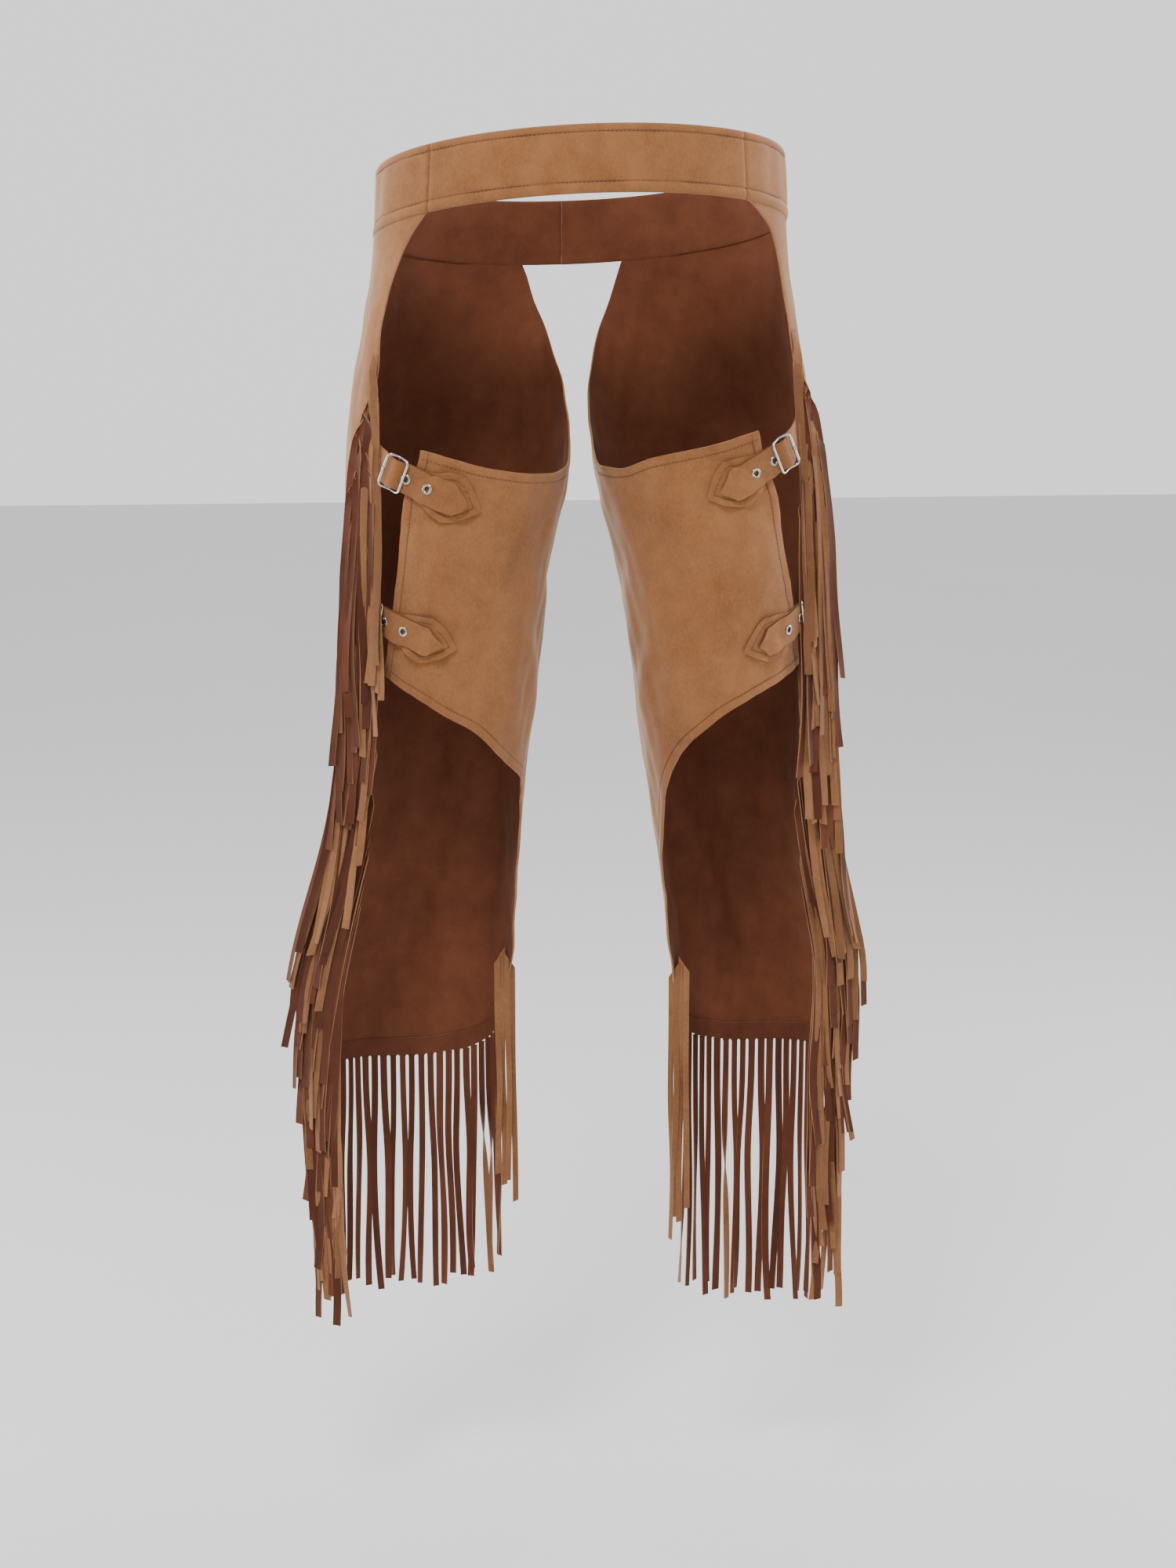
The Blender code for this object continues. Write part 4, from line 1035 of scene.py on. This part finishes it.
def make_eyelet(side, level, number):
    """Rolled eyelet: barrel through the strap, domed flange on top."""
    under = TONGUE_LYING - STRAP_THICK / 2
    top = TONGUE_LYING + STRAP_THICK / 2
    profile = [(EYELET_BORE + 0.0001, under), (EYELET_BORE + 0.0006, under),
               (EYELET_BORE + 0.0006, top + 0.0001), (EYELET_RADIUS - 0.0001, top + 0.0001),
               (EYELET_RADIUS, top + 0.0003)]
    for k in range(1, 8):
        turn = math.pi * k / 8
        middle = (EYELET_RADIUS + EYELET_BORE) / 2
        profile.append((middle + (EYELET_RADIUS - middle) * math.cos(turn),
                        top + 0.0003 + 0.00062 * math.sin(turn)))
    profile.append((EYELET_BORE, top))
    frame_at = frame_of(on_strap, side, level, EYELET_STATIONS[number - 1])
    points, faces = lathe(frame_at, profile, 36)
    name = side + "_" + level + "_" + str(number)
    piece = new_piece("eyelet_ring_" + name, points, faces, ["nickel"], sharp=60.0)
    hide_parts("eyelet_" + name)


def tube(path, radius, sides, closed):
    """Round wire along a path; radius may change along it."""
    path = np.asarray(path)
    count = len(path)
    radii = np.broadcast_to(radius, (count,))
    points, faces = [], []
    reference = np.array((0.02, 0.03, 1.0))
    for i, place in enumerate(path):
        before = path[(i - 1) % count] if closed else path[max(i - 1, 0)]
        after = path[(i + 1) % count] if closed else path[min(i + 1, count - 1)]
        ahead = units(after - before)
        side = units(np.cross(ahead, reference))
        other = np.cross(ahead, side)
        for k in range(sides):
            turn = 2 * math.pi * (k + 0.5) / sides
            points.append(place + (side * math.cos(turn) + other * math.sin(turn)) * radii[i])
    spans = count if closed else count - 1
    for i in range(spans):
        for k in range(sides):
            a, b = i * sides + k, i * sides + (k + 1) % sides
            c, d = ((i + 1) % count) * sides, (k + 1) % sides
            faces.append((a, b, c + d, c + k))
    if not closed:
        faces.append(tuple(range(sides - 1, -1, -1)))
        faces.append(tuple(range((count - 1) * sides, count * sides)))
    return points, faces


def make_buckle(side, level):
    """Wire frame with round corners, split sleeve and prong coil on the outer bar."""
    place, tip, up, outward = frame_of(on_strap, side, level, 0.0)
    long, tall, corner = BUCKLE_HALF_LENGTH, BUCKLE_HALF_HEIGHT, BUCKLE_CORNER
    flat = []
    for x_sign, y_sign, first in ((1, 1, 0), (-1, 1, 90), (-1, -1, 180), (1, -1, 270)):
        centre = (x_sign * (long - corner), y_sign * (tall - corner))
        for step in range(9):
            turn = math.radians(first + 90 * step / 8)
            flat.append((centre[0] + corner * math.cos(turn), centre[1] + corner * math.sin(turn)))
    dense = []
    for here, there in zip(flat, flat[1:] + flat[:1]):
        gap = math.dist(here, there)
        steps = max(1, int(gap / 0.0012))
        for k in range(steps):
            dense.append((here[0] + (there[0] - here[0]) * k / steps,
                          here[1] + (there[1] - here[1]) * k / steps))
    rise = BUCKLE_END_OUT - BUCKLE_MIDDLE_OUT
    ring = [(x, y, BUCKLE_MIDDLE_OUT + rise * (abs(x) / long) ** BUCKLE_BOW)
            for x, y in dense]
    wires = [(ring, BAR_RADIUS, 14, True)]
    bar = [(0.0, y, BUCKLE_MIDDLE_OUT) for y in np.linspace(-tall, tall, 9)]
    wires.append((bar, BAR_RADIUS * 0.9, 12, False))
    for sign in (1, -1):
        sleeve = [(-long, sign * y, BUCKLE_END_OUT) for y in np.linspace(0.0021, tall - corner - 0.0004, 8)]
        wires.append((sleeve, BAR_RADIUS * 1.28, 16, False))
    turns, steps = 2.6, 44
    coil = []
    for k in range(steps + 1):
        turn = 2 * math.pi * turns * k / steps
        coil.append((-long + 0.00125 * math.cos(turn), -0.00135 + 0.0027 * k / steps,
                     BUCKLE_END_OUT + 0.00125 * math.sin(turn)))
    wires.append((coil, 0.00048, 8, False))
    points, faces = [], []
    for path, radius, sides, closed in wires:
        world = [place + tip * p[0] + up * p[1] + outward * p[2] for p in path]
        made, quads = tube(world, radius, sides, closed)
        start = len(points)
        points += made
        faces += [tuple(i + start for i in quad) for quad in quads]
    name = side + "_" + level
    piece = new_piece("buckle_wire_" + name, points, faces, ["nickel"], sharp=60.0)
    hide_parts("buckle_" + name)


def make_straps(side, level):
    name = side + "_" + level
    rows = [row + (0.0,) for row in PATCH]
    patch, (made, _, _) = make_ribbon("patch_" + name, side, level, rows, 110, ["strap", "back"],
                                      lift_edges=True)
    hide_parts("strap_patch_" + name)
    lower, upper = TONGUE[0][2:]
    edge = edge_distance(side, level, 0.0)
    lean = (edge_distance(side, level, upper) - edge_distance(side, level, lower)) / (upper - lower)
    rows = [(edge + past, out, lower, upper, lean) for past, out in TONGUE_ROOT]
    rows += [row + (0.0,) for row in TONGUE]
    tongue, _ = make_ribbon("tongue_" + name, side, level, rows, 120, ["strap", "back"])
    cut_holes(tongue, side, level)
    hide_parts("strap_tongue_" + name)
    for number in (1, 2):
        make_eyelet(side, level, number)
    make_buckle(side, level)
    return patch, tongue, patch_stitch_row(side, level, made)


# Fringes

DOWN = np.array((0.0, 0.0, -1.0))
BACKWARD = np.array((0.0, 1.0, 0.0))


def strand_mesh(places, acrosses, outs, widths, thick, slant, tone, store, root_slant=0.0):
    """One cut strand: face, back and edges through its rings, added to store."""
    points, faces, kinds, tones = store
    start = len(points)
    count = len(places)
    cup = 0.10
    for i in range(count):
        half = widths[i] / 2
        tilt = slant * half if i == count - 1 else root_slant * half if i == 0 else 0.0
        down = units(places[i] - places[i - 1]) if i else units(places[1] - places[0])
        for u, side in ((-1, 1), (0, 1), (1, 1), (1, -1), (0, -1), (-1, -1)):
            bow = cup * half * (1 - u * u)
            points.append(places[i] + acrosses[i] * half * u + outs[i] * (thick / 2 * side + bow)
                          + down * tilt * u)
            tones.append(tone)
    for i in range(count - 1):
        for k in range(6):
            a, b = start + i * 6 + k, start + i * 6 + (k + 1) % 6
            faces.append((a, b, b + 6, a + 6))
            kinds.append(0 if k < 2 else 2 if k == 2 or k == 5 else 1)
    faces.append(tuple(start + k for k in range(5, -1, -1)))
    faces.append(tuple(start + (count - 1) * 6 + k for k in range(6)))
    kinds.extend([2, 2])


def hanging_line(side):
    """Evened-out line that the side strands hang along: heights and places."""
    z = np.arange(-1.02, -0.04, GUIDE_STEP)
    held = np.maximum(z, GUIDE_LOW)
    angle = FRINGE_CURVES[side](held)
    across = leg_point(side, angle + 0.5, held) - leg_point(side, angle - 0.5, held)
    across[:, 2] = 0.0
    across = units(across)
    outward = np.stack([across[:, 1], -across[:, 0], np.zeros(len(z))], axis=1) * -SIDES[side]
    place = leg_point(side, angle, held) + outward * (WALL / 2 + GAP)
    place[:, 0] -= SIDES[side] * LEAN_IN[side] * smoothstep(0.0, LEAN_LENGTH, LEAN_START - z)
    weights = np.hanning(2 * GUIDE_REACH + 3)[1:-1]
    weights /= weights.sum()
    for axis in (0, 1):
        padded = np.pad(place[:, axis], GUIDE_REACH, mode="edge")
        place[:, axis] = np.convolve(padded, weights, mode="valid")
    return z, place


HANGING_LINES = {side: hanging_line(side) for side in SIDES}


def fringe_guide(side, z):
    """Place and directions of the bundle of side strands, turned towards the back."""
    levels, line = HANGING_LINES[side]
    place = np.stack([np.interp(z, levels, line[:, 0]), np.interp(z, levels, line[:, 1]), z], axis=1)
    turn = math.radians(FACING[side])
    outward = np.broadcast_to(np.array((SIDES[side] * math.sin(turn), math.cos(turn), 0.0)),
                              place.shape)
    across = np.broadcast_to(np.array((SIDES[side] * math.cos(turn), -math.sin(turn), 0.0)),
                             place.shape)
    return place, across, outward


def strip_frame(side, z):
    """Middle of the sewn strip on the outer back edge, with its directions."""
    angle = EDGE_CURVES[side][0](z)
    across = leg_point(side, angle + 0.5, z) - leg_point(side, angle - 0.5, z)
    across[..., 2] = 0.0
    across = units(across)
    outward = np.stack([across[..., 1], -across[..., 0], np.zeros(z.shape)], axis=-1) * -SIDES[side]
    edge = on_leg(side, angle, z, np.full(z.shape, WALL / 2 + STRIP_SEAT))
    return edge + across * (STRIP_WIDTH / 2), across, outward


def twisted(across, outward, turn):
    """Directions of a strand's width and face once it is turned about its length."""
    cos, sin = np.cos(turn)[..., None], np.sin(turn)[..., None]
    return across * cos + outward * sin, outward * cos - across * sin


def make_side_fringe(side, seed):
    rng = np.random.default_rng(seed)
    high, low = SIDE_TOP[side], SIDE_BOTTOM[side]
    store = ([], [], [], [])
    points, faces, kinds, tones = store
    levels = np.linspace(high, low, 200)
    place, across, outward = strip_frame(side, levels)
    half = STRIP_WIDTH / 2
    corners = [(-half, 0.0), (-half, STRIP_THICK), (0.0, STRIP_THICK * 1.1), (half, STRIP_THICK),
               (half, 0.0), (0.0, 0.0)]
    for i in range(len(levels)):
        pointed = min(1.0, (i + 0.3) / 5)
        for along, out in corners:
            points.append(place[i] + across[i] * (along * pointed - half * (1 - pointed))
                          + outward[i] * out)
            tones.append(0.1)
    for i in range(len(levels) - 1):
        for k in range(6):
            a, b = i * 6 + k, i * 6 + (k + 1) % 6
            faces.append((a, b, b + 6, a + 6))
            kinds.append(0 if k in (1, 2) else 1 if k in (4, 5) else 2)
    faces.append(tuple(range(5, -1, -1)))
    faces.append(tuple((len(levels) - 1) * 6 + k for k in range(6)))
    kinds.extend([2, 2])
    buckle = BUCKLES[(side, "low")][1]
    for k in range(SIDE_STRANDS):
        root = high + (low - high) * (k + 0.5) / SIDE_STRANDS
        values = rng.random(12)
        if buckle - BARE_BELOW < root < buckle + BARE_ABOVE:
            continue
        length = SIDE_STRAND_LENGTH * (1 + 0.09 * (values[0] - 0.5))
        drops = length * np.linspace(0.0, 1.0, STRAND_RINGS) ** 1.25
        z = root - drops
        share = smoothstep(0.0, FALL_DROP, drops)
        at_edge = k < EDGE_STRANDS
        column = SIDE_COLUMNS[0 if at_edge else k % len(SIDE_COLUMNS)]
        column = column + SIDE_COLUMN_JITTER * (values[1] - 0.5)
        spread = np.clip((high - z) / SPREAD_DROP, 0.0, 1.0) ** 0.6
        column = column * spread - LOW_SHIFT[side] * smoothstep(0.0, 0.14, LOW_SHIFT_FROM - z)
        if not at_edge:
            below = high - z
            over_flank = smoothstep(0.03, 0.09, below) * (1 - smoothstep(0.19, 0.30, below))
            column = column + FLANK_SHIFT[side] * over_flank
        sway = 0.0024 * np.sin(drops * (24 + 20 * values[2]) + 6.28 * values[3]) * (drops / length)
        tip = 0.0140 * (values[4] - 0.5) * (drops / length) ** 3
        fall = np.where(drops < FALL_DROP, FALL_OUT * drops / FALL_DROP,
                        FALL_OUT + FALL_SLOPE[side] * (drops - FALL_DROP))
        fall = fall + 0.0022 * (values[5] - 0.5) * share
        near, near_across, near_out = strip_frame(side, z)
        far, far_across, far_out = fringe_guide(side, z)
        start = near + near_out * (STRIP_THICK * 0.7 + fall)[:, None]
        chord = far[0] + (far[-1] - far[0]) * (drops / length)[:, None]
        far = far + (chord - far) * CHORD_SHARE
        end = (far + far_across * (column + sway + tip)[:, None]
               + far_out * (STRIP_THICK + fall)[:, None])
        places = start + (end - start) * share[:, None]
        side_way = units(near_across + (far_across - near_across) * share[:, None])
        out_way = units(near_out + (far_out - near_out) * share[:, None])
        on_flank = k < FLANK_STRANDS[side] and k % len(SIDE_COLUMNS) in (1, 3)
        flips = (values[6] < FLIPPED_SHARE[side] or on_flank) and not at_edge
        flipped = math.pi if flips else 0.0
        direction = 1.0 if values[7] < 0.5 else -1.0
        turn = direction * flipped * smoothstep(0.000, 0.020 + 0.012 * values[8], drops)
        turn = turn + 0.7 * (values[9] - 0.5) * share + 0.7 * (values[10] - 0.5) * (drops / length)
        turn = turn + 0.16 * np.sin(drops * 40 + 6.28 * values[10]) * share
        width_way, face_way = twisted(side_way, out_way, turn)
        widths = SIDE_STRAND_WIDTH * (1 + 0.16 * (values[11] - 0.5)) * (
            0.35 + 0.65 * smoothstep(-0.002, 0.012, drops))
        strand_mesh(places, width_way, face_way, widths, STRAND_THICK, 0.5 * (values[0] - 0.5),
                    values[5], store)
    piece = new_piece("fringe_side_cut_" + side, points, faces,
                      ["strand_face", "strand_back", "edge"], kinds, {"tone": tones}, sharp=40.0)
    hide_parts("fringe_side_" + side)
    return piece, (place + outward * STRIP_THICK * 1.1, outward)


def make_hem_fringe(side, seed):
    """Uncut strip under the hem and its strands, cut with round gaps between them."""
    rng = np.random.default_rng(seed)
    _, bottom, _ = panel_edges(side)
    shares = np.linspace(0.0, 0.7, 1400)
    z = bottom(shares)
    angles = leg_angle(side, shares, z)
    keep = (angles > HEM_OUTER_ANGLE[side]) & (angles < HEM_INNER_ANGLE[side])
    angles, z = angles[keep], z[keep]
    edge = leg_point(side, angles, z)
    normal = leg_normal(side, angles, z)
    normal[:, 2] = 0.0
    normal = units(normal)
    lengths = np.concatenate([[0.0], np.cumsum(np.linalg.norm(np.diff(edge, axis=0), axis=1))])
    count = HEM_STRANDS[side]

    def along(reach):
        spot = np.array([np.interp(reach, lengths, edge[:, axis]) for axis in range(3)])
        out = units(np.array([np.interp(reach, lengths, normal[:, axis]) for axis in range(3)]))
        return spot, out

    flap, _ = along(lengths[-1])
    store = ([], [], [], [])
    points, faces, kinds, tones = store
    fine = 5
    samples = count * fine + 1
    half = STRAND_THICK / 2 + 0.0001
    for i in range(samples):
        spot, out = along(lengths[-1] * i / (samples - 1))
        behind_cloth = spot - out * (WALL / 2 + half)
        top = behind_cloth - DOWN * HEM_TUCK
        low = behind_cloth + DOWN * HEM_STRIP_HEIGHT
        points += [top + out * half, low + out * half, low - out * half, top - out * half]
        tones += [0.15] * 4
    for i in range(samples - 1):
        for k in range(4):
            a, b = i * 4 + k, i * 4 + (k + 1) % 4
            faces.append((a, b, b + 4, a + 4))
            kinds.append((0, 2, 1, 2)[k])
    faces.append((3, 2, 1, 0))
    faces.append(tuple((samples - 1) * 4 + k for k in range(4)))
    kinds.extend([2, 2])
    for k in range(count):
        spot, out = along(lengths[-1] * (k + 0.5) / count)
        ahead, _ = along(lengths[-1] * (k + 0.9) / count)
        behind, _ = along(lengths[-1] * (k + 0.1) / count)
        values = rng.random(10)
        way = ahead - behind
        pitch = np.linalg.norm(way[:2]) / 0.8
        way[2] = 0.0
        way = units(way)
        corner = k - (count - CORNER_STRANDS)
        length = HEM_STRAND_LENGTH[side] * (1 + 0.08 * (values[0] - 0.5))
        drops = np.concatenate([HEM_ROUND * np.array((0.0, 0.06, 0.25, 0.6, 1.0)),
                                HEM_ROUND + (length - HEM_ROUND)
                                * np.linspace(0.0, 1.0, STRAND_RINGS - 4)[1:] ** 1.1])
        share = drops / length
        sway = 0.0015 * np.sin(share * (3.4 + 3.0 * values[1]) + 6.28 * values[2])
        sway = (sway - sway[0]) * smoothstep(0.0, 0.5, share)
        drift = 0.009 * (values[3] - 0.5) * share ** 4
        bow = 0.0060 * (values[4] - 0.42) * share ** 1.8
        places = (spot - out * (WALL / 2 + half) + DOWN * (HEM_STRIP_HEIGHT - 0.0001 + drops)[:, None]
                  + way * (sway + drift)[:, None] + out * bow[:, None])
        turn = 0.9 * (values[5] - 0.5) * smoothstep(0.03, 0.6, share)
        turn = turn + 1.2 * (values[9] - 0.5) * smoothstep(0.6, 1.0, share)
        turn = turn + (math.pi if values[6] < 0.06 else 0.0) * smoothstep(0.1, 0.7, share)
        turn = turn + 0.16 * np.sin(share * 9 + 6.28 * values[7]) * smoothstep(0.05, 0.3, share)
        base_way, base_out = np.broadcast_to(way, places.shape), np.broadcast_to(out, places.shape)
        root_slant = 0.0
        if corner >= 0:
            outside = np.array((SIDES[side], 0.0, 0.0))
            offset = CORNER_START + CORNER_SPREAD * corner
            past_peak = offset - CORNER_SPREAD
            top = CORNER_PEAK[side] - CORNER_SLOPE * abs(past_peak)
            root_slant = CORNER_SLOPE * np.sign(past_peak)
            length = HEM_STRAND_LENGTH[side] * CORNER_LENGTHS[corner]
            drops = length * np.linspace(0.0, 1.0, STRAND_RINGS)
            ripple = 0.0007 * np.sin(drops * 40 + 3 * corner)
            depth = 0.0022 + 0.0014 * (corner % 2) + ripple
            places = (np.array((flap[0], flap[1], top)) + outside * offset
                      + DOWN * drops[:, None] + outside * (sway * 0.6)[:, None]
                      + BACKWARD * depth[:, None])
            base_way, base_out = np.broadcast_to(outside, places.shape), np.broadcast_to(
                BACKWARD, places.shape)
            turn = turn * 0.35
            pitch = CORNER_SPREAD * 1.14
        width_way, face_way = twisted(base_way, base_out, turn)
        narrow = HEM_STRAND_WIDTH * (1 + 0.2 * (values[8] - 0.5))
        root_width = max(pitch, narrow * 0.7)
        into_gap = np.sqrt(1 - (1 - np.clip(drops / HEM_ROUND, 0.0, 1.0)) ** 2)
        widths = root_width + (narrow - root_width) * into_gap
        if corner >= 0:
            widths = np.full(STRAND_RINGS, pitch)
        strand_mesh(places, width_way, face_way, widths, STRAND_THICK, 0.6 * (values[9] - 0.5),
                    values[7], store, root_slant)
    piece = new_piece("fringe_hem_cut_" + side, points, faces,
                      ["strand_face", "strand_back", "edge"], kinds, {"tone": tones}, sharp=40.0)
    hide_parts("fringe_hem_" + side)
    reaches = np.linspace(0.0, lengths[-1], 120)
    sewn = [along(reach) for reach in reaches]
    path = [spot - DOWN * 0.0024 - out * (WALL / 2 + 2 * half) for spot, out in sewn]
    return piece, (path, [-out for _, out in sewn])


# Camera, light and floor

def make_stage():
    turn, down = math.radians(CAMERA_TURN), math.radians(CAMERA_DOWN)
    level = Vector((-math.sin(turn), -math.cos(turn), 0.0))
    look = level * math.cos(down) + Vector((0.0, 0.0, -math.sin(down)))
    data = bpy.data.cameras.new("photo_camera")
    data.lens = LENS_MM
    data.sensor_width = SENSOR_MM
    data.clip_start, data.clip_end = 0.05, 50.0
    camera = bpy.data.objects.new("photo_camera", data)
    camera.location = Vector((AIM_X, 0.0, CAMERA_HEIGHT)) - level * CAMERA_AWAY
    camera.rotation_mode = "QUATERNION"
    camera.rotation_quaternion = look.to_track_quat("-Z", "Y")
    bpy.context.collection.objects.link(camera)
    bpy.context.scene.camera = camera

    world = bpy.data.worlds.new("studio")
    world.use_nodes = True
    tree = world.node_tree
    backdrop = tree.nodes["Background"]
    backdrop.inputs["Color"].default_value = (1.0, 1.0, 1.0, 1.0)
    parts = node(tree, "SeparateXYZ")
    tree.links.new(node(tree, "TexCoord").outputs["Generated"], parts.inputs[0])
    bright = maths(tree, "MULTIPLY_ADD", parts.outputs["Y"], -0.42)
    bright.node.inputs[2].default_value = 0.90
    tree.links.new(bright, backdrop.inputs["Strength"])
    bpy.context.scene.world = world
    # Soft boxes: name, place, size, power, colour
    lights = [
        ("key_light", (0.8, 1.9, 2.2), 0.8, 72.0, (1.0, 0.985, 0.965)),
        ("fill_light", (-1.9, 2.0, 0.3), 1.8, 10.0, (0.97, 0.985, 1.0)),
        ("left_rim", (2.1, -0.5, 0.3), 1.4, 40.0, (1.0, 1.0, 1.0)),
        ("right_rim", (-2.1, -0.5, 0.3), 1.4, 40.0, (1.0, 1.0, 1.0)),
    ]
    for name, place, size, power, colour in lights:
        lamp = bpy.data.lights.new(name, "AREA")
        lamp.size = size
        lamp.energy = power
        lamp.color = colour
        holder = bpy.data.objects.new(name, lamp)
        holder.location = place
        aim = Vector((0.0, 0.0, -0.4)) - Vector(place)
        holder.rotation_mode = "QUATERNION"
        holder.rotation_quaternion = aim.to_track_quat("-Z", "Y")
        bpy.context.collection.objects.link(holder)

    material, tree, shader = new_material("studio_floor")
    clouds = noise_of(tree, node(tree, "TexCoord").outputs["Object"], 1.4, 3.0, 0.5)
    shade = mix_colours(tree, clouds, (0.80, 0.80, 0.81), (0.86, 0.86, 0.865))
    tree.links.new(shade, shader.inputs["Base Color"])
    shader.inputs["Roughness"].default_value = 0.45
    reach = 7.0
    mesh = bpy.data.meshes.new("floor")
    mesh.from_pydata([(-reach, -reach, FLOOR_HEIGHT), (reach, -reach, FLOOR_HEIGHT),
                      (reach, reach, FLOOR_HEIGHT), (-reach, reach, FLOOR_HEIGHT)], [], [(0, 1, 2, 3)])
    mesh.materials.append(material)
    floor = bpy.data.objects.new("floor", mesh)
    bpy.context.collection.objects.link(floor)


def main():
    lap = BAND_WALL + GAP
    bands = [("back", -BAND_SEAM_ANGLE, BAND_SEAM_ANGLE, 120, 0.0),
             ("left", BAND_SEAM_ANGLE, BAND_LEFT_END, 150, lap),
             ("right", -BAND_RIGHT_END, -BAND_SEAM_ANGLE, 150, 0.0)]
    band_rows, band_pieces = [], {}
    for name, start, end, columns, lap_out in bands:
        piece, rows = make_band("band_" + name, start, end, columns, lap_out)
        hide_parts("waistband_" + name)
        band_pieces[name] = piece
        band_rows += rows
    band_sewing = stitches("band_stitching", band_rows)
    for number, side in enumerate(SIDES):
        leg, surface, outer, normals, shares, front_share = make_leg(side)
        side_fringe, strip_row = make_side_fringe(side, 11 + number)
        hem_fringe, hem_row = make_hem_fringe(side, 31 + number)
        rows = [strip_row, hem_row]
        for edge, inward, _ in leg_edges(outer, normals, shares, front_share):
            rows.append(offset_path(surface, edge, inward, HEM_STITCH_IN))
        for level in ("top", "low"):
            patch, tongue, row = make_straps(side, level)
            rows.append(row)
        sewing = stitches("leg_stitching_" + side, rows)
    make_stage()


main()
